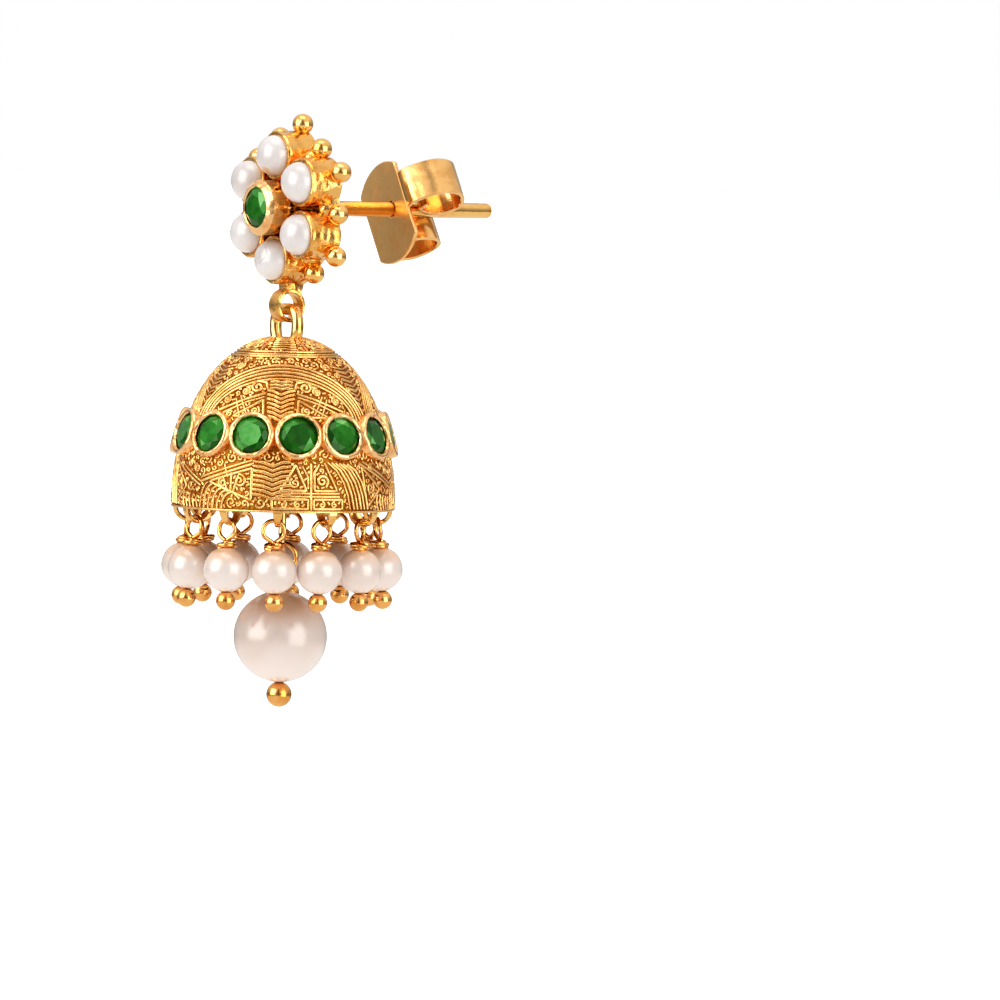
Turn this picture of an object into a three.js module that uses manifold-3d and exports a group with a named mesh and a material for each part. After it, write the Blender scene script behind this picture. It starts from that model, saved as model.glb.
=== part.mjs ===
// A jhumka earring: a flower stud with its post and scroll clutch, and a domed bell that hangs under it.
// Six half pearls and one green stone are set in the flower, fourteen green stones in a band round the
// bell, twelve pearl drops hang from its rim and one large pearl from a rod inside it.
//
// Millimetres, +Z up. The origin is on the post's axis at the flat back of the flower, where the ear lobe
// lies. The flower faces -Y, and the post runs along +Y through the lobe and the clutch.

import * as THREE from "three";
import { ConvexGeometry } from "three/addons/geometries/ConvexGeometry.js";
import { mergeVertices } from "three/addons/utils/BufferGeometryUtils.js";
import Module from "manifold-3d";

const wasm = await Module();
wasm.setup();

// Clearance between two pieces that touch on the real earring.
const TOUCH = 0.06;

// The flower.
const PETALS = 6;
const PETAL_CIRCLE = 3.25; // from the post's axis to the middle of a petal's cup
const CUP_RADIUS = 1.58;
const FLOWER_DEPTH = 2.25; // from the back face to the rims of the petal cups
const PLATE_THICKNESS = 0.6;
const PLATE_RADIUS = 4.1; // of the back plate, which shows between the cups
const HALF_PEARL_RADIUS = 1.36;
const HALF_PEARL_RISE = 1.1; // how far a half pearl stands out of its cup
const HALF_PEARL_SEAT = 0.5; // how deep it sits in the cup
const COLLAR_RADIUS = 1.75;
const COLLAR_RISE = 1.45; // the middle collar stands this far in front of the cups
const FLOWER_STONE_RADIUS = 1.3;
const BEZEL_WALL = 0.29; // wall beside a stone, for the flower's collar and the bell's bezels
const GRANULE_RADIUS = 0.65;
const GRANULE_DEPTH = 0.45; // a granule's middle is this far in front of the back face
const PETAL_GRANULE_CIRCLE = 5.25;
const NOTCH_GRANULE_CIRCLE = 4.5;

// The post, and the clutch that grips it.
const POST_RADIUS = 0.485;
const POST_LENGTH = 14.1;
const CLUTCH_DISTANCE = 6.6; // from the flower's back face to the clutch's plate
const CLUTCH_TURN = 31; // degrees about the post, from scrolls that lie level beside it
const CLUTCH_SHEET = 0.28;
const CLUTCH_PLATE_RADIUS = 3.25;
const CLUTCH_PLATE_OFFSET = 0.4; // the plate's middle lies this far towards the lower scroll
const CLUTCH_UPPER_REACH = 1.65; // from the post's axis to the fold where the upper scroll starts
const CLUTCH_LOWER_REACH = 2.65; // to the straight edge over the lower scroll
const SCROLL_WIDTH = 2.45;
const SCROLL_OFFSET = 0.5; // each scroll lies this far to its own side of the strip's middle
const SCROLL_REACH = 3.55; // from the post's axis to the outside of a scroll
const SCROLL_DEPTH = 4.1; // how far a scroll reaches behind the plate

// The ring under the flower, and the bell's loop that hangs in it.
const RING_RADIUS = 1.05;
const RING_WALL = 0.25;
const RING_WIDTH = 1.1;
const RING_DROP = 6.1; // from the post's axis down to the ring's middle
const RING_SETBACK = 1.12; // the ring's middle is this far in front of the back face
const LOOP_WIRE = 0.38;
const LOOP_HALF_WIDTH = 1.22;
const LOOP_HEIGHT = 1.6; // from the loop's top line down to the top of the bell

// The bell: a quarter superellipse turned about its axis.
const BELL_RADIUS = 6.9;
const BELL_HEIGHT = 10.7;
const BELL_FULLNESS = 2.1; // 2 is a true ellipse
const BELL_WALL = 0.5;
const BELL_TURN = 51; // degrees about its axis, from the flower's front to the bell's own front
const MOUTH_RADIUS = 4.95;
const RIM_THICKNESS = 0.45;

// The band of stones round the bell.
const BAND_STONES = 14;
const BAND_DROP = 6.03; // from the bell's top down to the stones' middles
const BAND_STONE_RADIUS = 1.22;
const BAND_STANDOFF = 0.5; // the tables stand this far off the bell's wall
const BEZEL_LIP = 0.15; // how far a bezel's outer edge is bevelled back

// Raised lines on the bell.
const ARCHES = 3;
const ARCH_HALF_ANGLE = 52;
const LINE_WIDTH = 0.34;
const LINE_HEIGHT = 0.14;
const LINE_SINK = 0.14; // how deep a line is let into the wall

// Lugs under the rim, as wide as it is, and the pearl drops that hang from them.
const DROPS = 12;
const LUG_INSET = 0.03; // of a lug's feet from the rim's edges
const LUG_BAR = 0.3;
const LUG_WIDTH = 0.54;
const WIRE_RADIUS = 0.14;
const EYE_HALF_WIDTH = 0.66;
const EYE_HEIGHT = 1.4; // from the eye's top line down to the wrapped coil
const COIL_RADIUS = 0.57;
const COIL_HEIGHT = 0.4;
const PEARL_RADIUS = 1.42;
const BORE_RADIUS = 0.21;
const BALL_RADIUS = 0.6;

// The rod inside the bell and the large pearl that hangs from it.
const ROD_RADIUS = 0.25;
const ROD_EYE_DROP = 12.84; // from the bell's top down to the middle of the rod's eye
const ROD_EYE_RADIUS = 0.48;
const ROD_EYE_WIRE = 0.21;
const LINK_RADIUS = 0.9;
const LINK_WIRE = 0.16;
const MAIN_EYE_HALF_WIDTH = 0.6;
const MAIN_EYE_HEIGHT = 1.09;
const MAIN_COIL_RADIUS = 0.65;
const MAIN_COIL_HEIGHT = 0.4;
const MAIN_PEARL_RADIUS = 2.98;
const MAIN_PEARL_HEIGHT = 5.75; // it is a little flatter than round
const MAIN_BALL_RADIUS = 0.8;

// How each rim drop hangs, in degrees: outward from the bell, and sideways along the rim.
const HANG = [
  { outward: 0, sideways: -1.5 },
  { outward: 0, sideways: 2.5 },
  { outward: 0, sideways: 0 },
  { outward: 5, sideways: 0 },
  { outward: 3, sideways: -2 },
  { outward: 1, sideways: 3 },
  { outward: 2, sideways: 0 },
  { outward: 4, sideways: -3 },
  { outward: 3, sideways: 2 },
  { outward: 4, sideways: 0 },
  { outward: 7, sideways: -2 },
  { outward: 5, sideways: -3.5 },
];

const GOLD = new THREE.MeshStandardMaterial({ color: 0xd99a2b, roughness: 0.25, metalness: 1 });
const GREEN = new THREE.MeshStandardMaterial({ color: 0x1f7a1f, roughness: 0.05, metalness: 0 });
const PEARL = new THREE.MeshStandardMaterial({ color: 0xf1e4da, roughness: 0.2, metalness: 0 });

const rad = THREE.MathUtils.degToRad;

// Geometry of a closed body as a solid that can be joined and cut.
function solidOf(geometry) {
  const bare = geometry.index ? geometry.toNonIndexed() : geometry.clone();
  for (const name of Object.keys(bare.attributes)) {
    if (name !== "position") bare.deleteAttribute(name);
  }
  const merged = mergeVertices(bare, 1e-4);
  const vertProperties = merged.attributes.position.array;
  const triVerts = new Uint32Array(merged.index.array);
  return new wasm.Manifold(new wasm.Mesh({ numProp: 3, vertProperties, triVerts }));
}

function geometryOf(solid) {
  const mesh = solid.getMesh();
  const geometry = new THREE.BufferGeometry();
  geometry.setAttribute("position", new THREE.BufferAttribute(mesh.vertProperties, 3));
  geometry.setIndex(new THREE.BufferAttribute(mesh.triVerts, 1));
  return geometry;
}

const joined = (solids) => solids.reduce((whole, next) => whole.add(next));
const placed = (solid, matrix) => solid.transform(matrix.elements);
const moved = (solid, x, y, z) => placed(solid, new THREE.Matrix4().makeTranslation(x, y, z));
const turnedX = (solid, degrees) => placed(solid, new THREE.Matrix4().makeRotationX(rad(degrees)));
const turnedZ = (solid, degrees) => placed(solid, new THREE.Matrix4().makeRotationZ(rad(degrees)));

// A body of revolution about +Z, from [radius, height] pairs that run up its outside.
function lathed(profile, sides) {
  const points = profile.map(([radius, height]) => new THREE.Vector2(radius, height));
  return solidOf(new THREE.LatheGeometry(points, sides).rotateX(Math.PI / 2));
}

function cylinder(radius, bottom, top, sides) {
  return lathed([[0, bottom], [radius, bottom], [radius, top], [0, top]], sides);
}

function ball(radius, sides) {
  return solidOf(new THREE.SphereGeometry(radius, sides, Math.ceil(sides * 0.6)).rotateX(Math.PI / 2));
}

// A ring of round wire lying in the XY plane.
function wireRing(radius, wire, sides) {
  return solidOf(new THREE.TorusGeometry(radius, wire, 6, sides));
}

// Round wire along a smooth line through the points, closed at both ends.
function wireAlong(points, wire, steps, sides = 6) {
  const section = new THREE.Shape();
  for (let i = 0; i < sides; i++) {
    const angle = (i / sides) * 2 * Math.PI;
    if (i === 0) section.moveTo(wire, 0);
    else section.lineTo(wire * Math.cos(angle), wire * Math.sin(angle));
  }
  section.closePath();
  const line = new THREE.CatmullRomCurve3(points.map((p) => new THREE.Vector3(...p)));
  return solidOf(new THREE.ExtrudeGeometry(section, { steps, extrudePath: line, bevelEnabled: false }));
}

// A round cut with its girdle at z = 0 and its table up, in shares of its radius. The flower's stone has a
// brilliant's kites and girdle facets. The bell's small stones have eight plain facets round the table.
const CUT = { table: 0.58, kite: 0.8, crown: 0.28, girdle: 0.05, pavilion: 0.4 };

function cutStone(radius, brilliant) {
  const points = [new THREE.Vector3(0, 0, -CUT.pavilion * radius)];
  const ring = (share, height, count, turn) => {
    for (let i = 0; i < count; i++) {
      const angle = ((i + turn) / count) * 2 * Math.PI;
      const reach = share * radius;
      points.push(new THREE.Vector3(reach * Math.cos(angle), reach * Math.sin(angle), height * radius));
    }
  };
  const inward = (CUT.kite * Math.cos(Math.PI / 8) - CUT.table) / (1 - CUT.table);
  ring(CUT.table, CUT.crown, 8, 0);
  if (brilliant) {
    ring(CUT.kite, CUT.girdle + (CUT.crown - CUT.girdle) * (1 - inward), 8, 0.5);
    ring(1, CUT.girdle, 16, 0);
    ring(1, 0, 16, 0);
  } else {
    ring(1, CUT.girdle, 8, 0);
    ring(1, 0, 8, 0);
  }
  return solidOf(new ConvexGeometry(points));
}

// The space that a stone takes in its setting, open towards its table.
function stoneSeat(radius, sides) {
  const wall = (radius + TOUCH / 2) / Math.cos(Math.PI / sides);
  const front = (CUT.crown + 1) * radius;
  return lathed([[0, -CUT.pavilion * radius - TOUCH], [wall, -TOUCH], [wall, front], [0, front]], sides);
}

// A half pearl's base is its cup's seat, and its dome stands out of the cup.
function halfPearl() {
  const rings = 4;
  const profile = [[0, -HALF_PEARL_SEAT], [HALF_PEARL_RADIUS, -HALF_PEARL_SEAT]];
  for (let i = 0; i < rings; i++) {
    const angle = (i / rings) * 0.5 * Math.PI;
    profile.push([HALF_PEARL_RADIUS * Math.cos(angle), HALF_PEARL_RISE * Math.sin(angle)]);
  }
  profile.push([0, HALF_PEARL_RISE]);
  return lathed(profile, 12);
}

// Solids made with +Z outward are turned so that they face the flower's front, -Y.
const faceFront = (solid) => turnedX(solid, 90);

function petalCentre(index) {
  const angle = rad(90 + (index * 360) / PETALS);
  return [PETAL_CIRCLE * Math.cos(angle), PETAL_CIRCLE * Math.sin(angle)];
}

const collarFront = FLOWER_DEPTH + COLLAR_RISE;
const flowerStoneGirdle = collarFront - CUT.crown * FLOWER_STONE_RADIUS;
const ringInside = RING_RADIUS - RING_WALL;

// Cups, collar, plate, granules, post and ring are soldered together.
function flowerSetting() {
  const parts = [];
  const seats = [];
  for (let i = 0; i < PETALS; i++) {
    const [x, z] = petalCentre(i);
    const lip = 0.06;
    const cup = lathed([
      [0, 0],
      [CUP_RADIUS, 0],
      [CUP_RADIUS, FLOWER_DEPTH - lip],
      [CUP_RADIUS - lip, FLOWER_DEPTH],
      [0, FLOWER_DEPTH],
    ], 14);
    const floor = FLOWER_DEPTH - HALF_PEARL_SEAT - TOUCH;
    const seat = cylinder(HALF_PEARL_RADIUS + TOUCH / 2, floor, FLOWER_DEPTH + lip, 14);
    parts.push(moved(faceFront(cup), x, 0, z));
    seats.push(moved(faceFront(seat), x, 0, z));
  }
  parts.push(faceFront(cylinder(PLATE_RADIUS, 0, PLATE_THICKNESS, 24)));
  const collarInner = FLOWER_STONE_RADIUS + TOUCH / 2;
  parts.push(faceFront(lathed([
    [0, PLATE_THICKNESS / 2],
    [COLLAR_RADIUS, PLATE_THICKNESS / 2],
    [COLLAR_RADIUS, collarFront - BEZEL_WALL],
    [collarInner + 0.08, collarFront],
    [0, collarFront],
  ], 20)));
  seats.push(moved(faceFront(stoneSeat(FLOWER_STONE_RADIUS, 16)), 0, -flowerStoneGirdle, 0));
  for (let i = 0; i < 2 * PETALS; i++) {
    const angle = rad(90 + (i * 180) / PETALS);
    const circle = i % 2 ? NOTCH_GRANULE_CIRCLE : PETAL_GRANULE_CIRCLE;
    if (i === PETALS) continue; // the ring takes the place of the lowest granule
    const [x, z] = [circle * Math.cos(angle), circle * Math.sin(angle)];
    parts.push(moved(ball(GRANULE_RADIUS, 8), x, -GRANULE_DEPTH, z));
  }
  const tip = 0.12;
  parts.push(turnedX(lathed([
    [0, -PLATE_THICKNESS / 2],
    [POST_RADIUS, -PLATE_THICKNESS / 2],
    [POST_RADIUS, POST_LENGTH - tip],
    [POST_RADIUS - tip, POST_LENGTH],
    [0, POST_LENGTH],
  ], 12), -90));
  parts.push(ringAndTab());
  return joined(parts).subtract(joined(seats));
}

// The band ring hangs with its hole along X, on a tapered tab from the lowest petal.
function ringAndTab() {
  const band = lathed([
    [ringInside, -RING_WIDTH / 2],
    [RING_RADIUS, -RING_WIDTH / 2],
    [RING_RADIUS, RING_WIDTH / 2],
    [ringInside, RING_WIDTH / 2],
    [ringInside, -RING_WIDTH / 2],
  ], 16);
  const turn = new THREE.Matrix4().makeRotationY(Math.PI / 2);
  turn.setPosition(0, -RING_SETBACK, -RING_DROP);
  const petalBottom = -PETAL_CIRCLE - CUP_RADIUS;
  const ringTop = -RING_DROP + RING_RADIUS;
  const tabWidth = 0.7;
  const side = new THREE.Shape();
  side.moveTo(-RING_SETBACK - 0.5, petalBottom + 0.3);
  side.lineTo(-RING_SETBACK - 0.3, ringTop - RING_WALL / 2);
  side.lineTo(-RING_SETBACK + 0.45, ringTop - RING_WALL);
  side.lineTo(-0.05, petalBottom + 0.35);
  side.closePath();
  const tab = new THREE.ExtrudeGeometry(side, { depth: tabWidth, bevelEnabled: false });
  tab.translate(0, 0, -tabWidth / 2);
  // The shape's own x is the earring's Y, its y the earring's Z and its depth the earring's X.
  tab.applyMatrix4(new THREE.Matrix4().makeBasis(
    new THREE.Vector3(0, 1, 0),
    new THREE.Vector3(0, 0, 1),
    new THREE.Vector3(1, 0, 0),
  ));
  return placed(band, turn).add(solidOf(tab));
}

// A strip of sheet seen from its edge: the line through the points, thickened by half the sheet each way.
function sheetSection(points, samples) {
  const line = new THREE.SplineCurve(points.map(([x, y]) => new THREE.Vector2(x, y)));
  const left = [];
  const right = [];
  for (let i = 0; i <= samples; i++) {
    const at = line.getPointAt(i / samples);
    const along = line.getTangentAt(i / samples);
    const across = new THREE.Vector2(-along.y, along.x).multiplyScalar(CLUTCH_SHEET / 2);
    left.push(at.clone().add(across));
    right.unshift(at.clone().sub(across));
  }
  return new THREE.Shape([...left, ...right]);
}

// The clutch is one strip: a plate with the post's hole, and two ends rolled back against the post.
// Here the plate lies in XZ, the scrolls roll in XY, and the sheet's width runs along Z.
function clutch() {
  const grip = POST_RADIUS + TOUCH + CLUTCH_SHEET / 2;
  const outside = SCROLL_REACH - CLUTCH_SHEET / 2;
  const back = SCROLL_DEPTH - CLUTCH_SHEET / 2;
  const width = outside - grip;
  const roll = [
    [grip + 0.25 * width, 0.15],
    [grip + 0.51 * width, 0.16],
    [grip + 0.69 * width, 0.13 * back],
    [grip + 0.91 * width, 0.33 * back],
    [outside, 0.53 * back],
    [grip + 0.91 * width, 0.78 * back],
    [grip + 0.61 * width, 0.96 * back],
    [grip + 0.29 * width, back],
    [grip + 0.05 * width, 0.85 * back],
    [grip, 0.63 * back],
    [grip + 0.07 * width, 0.43 * back],
    [grip + 0.24 * width, 0.33 * back],
    [grip + 0.43 * width, 0.38 * back],
  ];
  const flat = { depth: SCROLL_WIDTH, bevelEnabled: false };
  const strip = new THREE.ExtrudeGeometry(sheetSection(roll, 28), flat);
  strip.translate(0, 0, SCROLL_OFFSET - SCROLL_WIDTH / 2);
  const scroll = solidOf(strip);
  const disc = turnedX(cylinder(CLUTCH_PLATE_RADIUS, 0, CLUTCH_SHEET, 28), -90);
  const length = CLUTCH_UPPER_REACH + CLUTCH_LOWER_REACH;
  const span = new THREE.BoxGeometry(length, 4 * CLUTCH_SHEET, 3 * CLUTCH_PLATE_RADIUS);
  span.translate((CLUTCH_UPPER_REACH - CLUTCH_LOWER_REACH) / 2, 0, 0);
  const plate = moved(disc, -CLUTCH_PLATE_OFFSET, 0, 0).intersect(solidOf(span));
  const hole = turnedX(cylinder(POST_RADIUS + TOUCH, -CLUTCH_SHEET, 3 * CLUTCH_SHEET, 14), -90);
  const halfTurn = new THREE.Matrix4().makeRotationY(Math.PI);
  return joined([plate, scroll, placed(scroll, halfTurn)]).subtract(hole);
}

// Where the bell hangs: its loop's top line lies in the ring. The bell and all that hangs from it are
// made about the bell's own axis with its front at -Y, in a group that stands under the ring.
const loopTop = -RING_DROP - ringInside + LOOP_WIRE + TOUCH;
const bellTop = loopTop - LOOP_HEIGHT;
const rimZ = bellTop - BELL_HEIGHT;

// Radius of the bell's wall at a drop below its top, and the outward slope of the wall there.
function wallRadius(drop, radius = BELL_RADIUS, height = BELL_HEIGHT) {
  const share = Math.min(1, Math.max(0, (height - drop) / height));
  return radius * (1 - share ** BELL_FULLNESS) ** (1 / BELL_FULLNESS);
}

// A frame on the wall: +Z outward, +Y up the wall, +X along the rim. Azimuth 0 is the bell's own front.
function wallFrame(azimuth, drop, out) {
  const step = 0.01;
  const slope = (wallRadius(drop + step) - wallRadius(drop - step)) / (2 * step);
  const front = new THREE.Vector3(Math.sin(rad(azimuth)), -Math.cos(rad(azimuth)), 0);
  const normal = front.clone().add(new THREE.Vector3(0, 0, slope)).normalize();
  const along = new THREE.Vector3(Math.cos(rad(azimuth)), Math.sin(rad(azimuth)), 0);
  const up = normal.clone().cross(along);
  const at = front.multiplyScalar(wallRadius(drop));
  at.z = bellTop - drop;
  at.addScaledVector(normal, out);
  return new THREE.Matrix4().makeBasis(along, up, normal).setPosition(at);
}

// A raised line along a path on the wall, given as azimuth and drop at each share of its length.
function raisedLine(path, steps) {
  const corners = [[-1, -LINE_SINK], [-1, LINE_HEIGHT], [1, LINE_HEIGHT], [1, -LINE_SINK]];
  const positions = [];
  const faces = [];
  for (let i = 0; i <= steps; i++) {
    const [azimuth, drop] = path(i / steps);
    const [before, after] = [path(Math.max(0, i - 1) / steps), path(Math.min(steps, i + 1) / steps)];
    const run = rad(after[0] - before[0]) * wallRadius(drop);
    const rise = before[1] - after[1];
    const length = Math.hypot(run, rise);
    const frame = wallFrame(azimuth, drop, 0);
    for (const [side, out] of corners) {
      const half = (side * LINE_WIDTH) / 2;
      const point = new THREE.Vector3((-rise / length) * half, (run / length) * half, out);
      positions.push(...point.applyMatrix4(frame).toArray());
    }
  }
  for (let i = 0; i < steps; i++) {
    for (let k = 0; k < 4; k++) {
      const [a, b] = [4 * i + k, 4 * i + ((k + 1) % 4)];
      faces.push(a, a + 4, b, b, a + 4, b + 4);
    }
  }
  const end = 4 * steps;
  faces.push(0, 1, 2, 0, 2, 3, end, end + 2, end + 1, end, end + 3, end + 2);
  const geometry = new THREE.BufferGeometry();
  geometry.setAttribute("position", new THREE.Float32BufferAttribute(positions, 3));
  geometry.setIndex(faces);
  return solidOf(geometry);
}

// Arches over the stones and a zigzag under them: the main raised lines of the pattern.
function raisedLines() {
  const bandTop = BAND_DROP - BAND_STONE_RADIUS - BEZEL_WALL;
  const bandFoot = BAND_DROP + BAND_STONE_RADIUS + BEZEL_WALL;
  const archTop = 0.2 * BELL_HEIGHT;
  const archFoot = bandTop + 0.05 * BELL_HEIGHT;
  const lines = [];
  for (let i = 0; i < ARCHES; i++) {
    const middle = (i * 360) / ARCHES;
    lines.push(raisedLine((share) => {
      const angle = Math.PI * share;
      return [middle - ARCH_HALF_ANGLE * Math.cos(angle), archFoot - (archFoot - archTop) * Math.sin(angle)];
    }, 8));
  }
  const teeth = 2 * ARCHES;
  const [high, low] = [bandFoot + 0.04 * BELL_HEIGHT, 0.965 * BELL_HEIGHT];
  for (let i = 0; i < 2 * teeth; i++) {
    const from = (i * 180) / teeth;
    const ends = i % 2 ? [low, high] : [high, low];
    const leg = (share) => [from + (share * 180) / teeth, ends[0] + share * (ends[1] - ends[0])];
    lines.push(raisedLine(leg, 2));
  }
  return lines;
}

function bellShell() {
  const steps = 8;
  const arc = (radius, height, top, share) => {
    const angle = share * 0.5 * Math.PI;
    const power = 2 / BELL_FULLNESS;
    return [radius * Math.sin(angle) ** power, top - height * (1 - Math.cos(angle) ** power)];
  };
  const insideHeight = BELL_HEIGHT - BELL_WALL;
  const shareAtRim = Math.acos((RIM_THICKNESS / insideHeight) ** (BELL_FULLNESS / 2)) / (0.5 * Math.PI);
  const profile = [[MOUTH_RADIUS, rimZ]];
  for (let i = steps; i > 0; i--) profile.push(arc(BELL_RADIUS, BELL_HEIGHT, bellTop, i / steps));
  profile.push([0, bellTop], [0, bellTop - BELL_WALL]);
  for (let i = 1; i <= steps - 3; i++) {
    const share = (i / (steps - 3)) * shareAtRim;
    profile.push(arc(BELL_RADIUS - BELL_WALL, insideHeight, bellTop - BELL_WALL, share));
  }
  profile.push([MOUTH_RADIUS, rimZ + RIM_THICKNESS], [MOUTH_RADIUS, rimZ]);
  return lathed(profile, 2 * BAND_STONES);
}

const bandAzimuth = (index) => ((index + 0.5) * 360) / BAND_STONES;
const bandGirdle = BAND_STANDOFF - CUT.crown * BAND_STONE_RADIUS;

function bandBezel(index) {
  const outer = BAND_STONE_RADIUS + BEZEL_WALL;
  const bezel = lathed([
    [0, -BELL_WALL / 2],
    [outer, -BELL_WALL / 2],
    [outer, BAND_STANDOFF - BEZEL_LIP],
    [BAND_STONE_RADIUS + TOUCH, BAND_STANDOFF],
    [0, BAND_STANDOFF],
  ], 10);
  return placed(bezel, wallFrame(bandAzimuth(index), BAND_DROP, 0));
}

// Where a band stone's girdle lies, with its table outward.
const bandStoneFrame = (index) => wallFrame(bandAzimuth(index), BAND_DROP, bandGirdle);

const dropAzimuth = (index) => (index * 360) / DROPS;
const rimMiddle = (MOUTH_RADIUS + BELL_RADIUS) / 2;
const lugRadius = (BELL_RADIUS - MOUTH_RADIUS) / 2 - LUG_INSET;

// A half ring of flat bar in the bell's radial plane, with its feet let into the rim.
function lug(index) {
  const foot = 0.5 * RIM_THICKNESS;
  const inside = lugRadius - LUG_BAR;
  const side = new THREE.Shape();
  side.moveTo(-lugRadius, foot);
  side.absarc(0, 0, lugRadius, Math.PI, 2 * Math.PI, false);
  side.lineTo(lugRadius, foot);
  side.lineTo(inside, foot);
  side.absarc(0, 0, inside, 2 * Math.PI, Math.PI, true);
  side.lineTo(-inside, foot);
  side.closePath();
  const bar = new THREE.ExtrudeGeometry(side, { depth: LUG_WIDTH, bevelEnabled: false, curveSegments: 4 });
  bar.translate(0, 0, -LUG_WIDTH / 2);
  bar.applyMatrix4(new THREE.Matrix4().makeBasis(
    new THREE.Vector3(0, 1, 0),
    new THREE.Vector3(0, 0, 1),
    new THREE.Vector3(1, 0, 0),
  ));
  return turnedZ(moved(solidOf(bar), 0, -rimMiddle, rimZ), dropAzimuth(index));
}

// The loop on the bell stands across the flower's ring, whichever way the bell's own front is turned.
function bellLoop() {
  const half = [
    [0.84 * LOOP_HALF_WIDTH, bellTop - BELL_WALL / 2],
    [LOOP_HALF_WIDTH, bellTop + 0.3 * LOOP_HEIGHT],
    [0.93 * LOOP_HALF_WIDTH, bellTop + 0.74 * LOOP_HEIGHT],
    [0.55 * LOOP_HALF_WIDTH, loopTop],
  ];
  const points = [...half.map(([x, z]) => [-x, 0, z]), ...half.reverse().map(([x, z]) => [x, 0, z])];
  return turnedZ(wireAlong(points, LOOP_WIRE, 16, 8), -BELL_TURN);
}

const rodEyeZ = bellTop - ROD_EYE_DROP;

// The rod runs down the axis from inside the bell's top to an eye with its hole along X.
function hangingRod() {
  const rod = cylinder(ROD_RADIUS, rodEyeZ + ROD_EYE_RADIUS, bellTop - BELL_WALL / 2, 8);
  const across = new THREE.Matrix4().makeRotationY(Math.PI / 2);
  const eye = placed(wireRing(ROD_EYE_RADIUS, ROD_EYE_WIRE, 12), across);
  return rod.add(moved(eye, 0, 0, rodEyeZ));
}

function bell() {
  const parts = [bellShell(), ...raisedLines(), bellLoop(), hangingRod()];
  const seats = [];
  for (let i = 0; i < BAND_STONES; i++) {
    parts.push(bandBezel(i));
    seats.push(placed(stoneSeat(BAND_STONE_RADIUS, 8), bandStoneFrame(i)));
  }
  for (let i = 0; i < DROPS; i++) parts.push(lug(i));
  return joined(parts).subtract(joined(seats));
}

// A round bead drilled through along Z, with its bore countersunk at both ends.
function drilledPearl(radius, halfHeight, sides, rings) {
  const bevel = 1.7 * BORE_RADIUS;
  const sink = 0.11;
  const start = Math.asin(bevel / radius);
  const profile = [[BORE_RADIUS, -halfHeight * Math.cos(start) + sink]];
  for (let i = 0; i <= rings; i++) {
    const angle = start + (i / rings) * (Math.PI - 2 * start);
    profile.push([radius * Math.sin(angle), -halfHeight * Math.cos(angle)]);
  }
  profile.push([BORE_RADIUS, halfHeight * Math.cos(start) - sink]);
  profile.push(profile[0]);
  return lathed(profile, sides);
}

// How far below a pearl's middle its end ball's middle lies, with the ball let into the countersink.
function ballDrop(pearlRadius, pearlHalfHeight, ballRadius) {
  const bevel = 1.7 * BORE_RADIUS;
  const onPearl = pearlHalfHeight * Math.sqrt(1 - (bevel / pearlRadius) ** 2);
  return onPearl + Math.sqrt(ballRadius ** 2 - bevel ** 2) + TOUCH;
}

// A head pin: a ball, a stem, a coil of wrapped wire and a drop-shaped eye in the XZ plane.
// Its eye's top line is at the origin, and it hangs along -Z.
function headPin({ eyeHalfWidth, eyeHeight, coilRadius, coilHeight, wire, ballRadius, ballZ, sides }) {
  const half = 0.5 * coilHeight;
  const coilFoot = -eyeHeight - coilHeight;
  const stem = wire * 1.05;
  const rings = 4;
  const profile = [[0, ballZ - ballRadius]];
  for (let i = 1; i <= rings; i++) {
    const angle = (i / rings) * (Math.PI - Math.asin(stem / ballRadius));
    profile.push([ballRadius * Math.sin(angle), ballZ - ballRadius * Math.cos(angle)]);
  }
  profile.push(
    [stem, coilFoot],
    [coilRadius, coilFoot + 0.3 * half],
    [0.84 * coilRadius, coilFoot + half],
    [0.9 * coilRadius, coilFoot + 1.5 * half],
    [0, -eyeHeight],
  );
  const eye = wireAlong([
    [-1.15 * wire, 0, -eyeHeight - 0.8 * half],
    [-0.55 * eyeHalfWidth, 0, -0.72 * eyeHeight],
    [-eyeHalfWidth, 0, -0.34 * eyeHeight],
    [0, 0, 0],
    [eyeHalfWidth, 0, -0.34 * eyeHeight],
    [0.55 * eyeHalfWidth, 0, -0.72 * eyeHeight],
    [1.15 * wire, 0, -eyeHeight - 0.8 * half],
  ], wire, 9, 5);
  return lathed(profile, sides).add(eye);
}

// A rim drop's line: eye, coil, pearl and ball, measured down from the eye's top line.
const pearlShoulder = Math.sqrt(PEARL_RADIUS ** 2 - (1.7 * BORE_RADIUS) ** 2);
const pearlZ = -EYE_HEIGHT - COIL_HEIGHT - TOUCH - pearlShoulder;
const rimPinSizes = {
  eyeHalfWidth: EYE_HALF_WIDTH,
  eyeHeight: EYE_HEIGHT,
  coilRadius: COIL_RADIUS,
  coilHeight: COIL_HEIGHT,
  wire: WIRE_RADIUS,
  ballRadius: BALL_RADIUS,
  ballZ: pearlZ - ballDrop(PEARL_RADIUS, PEARL_RADIUS, BALL_RADIUS),
  sides: 7,
};

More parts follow.
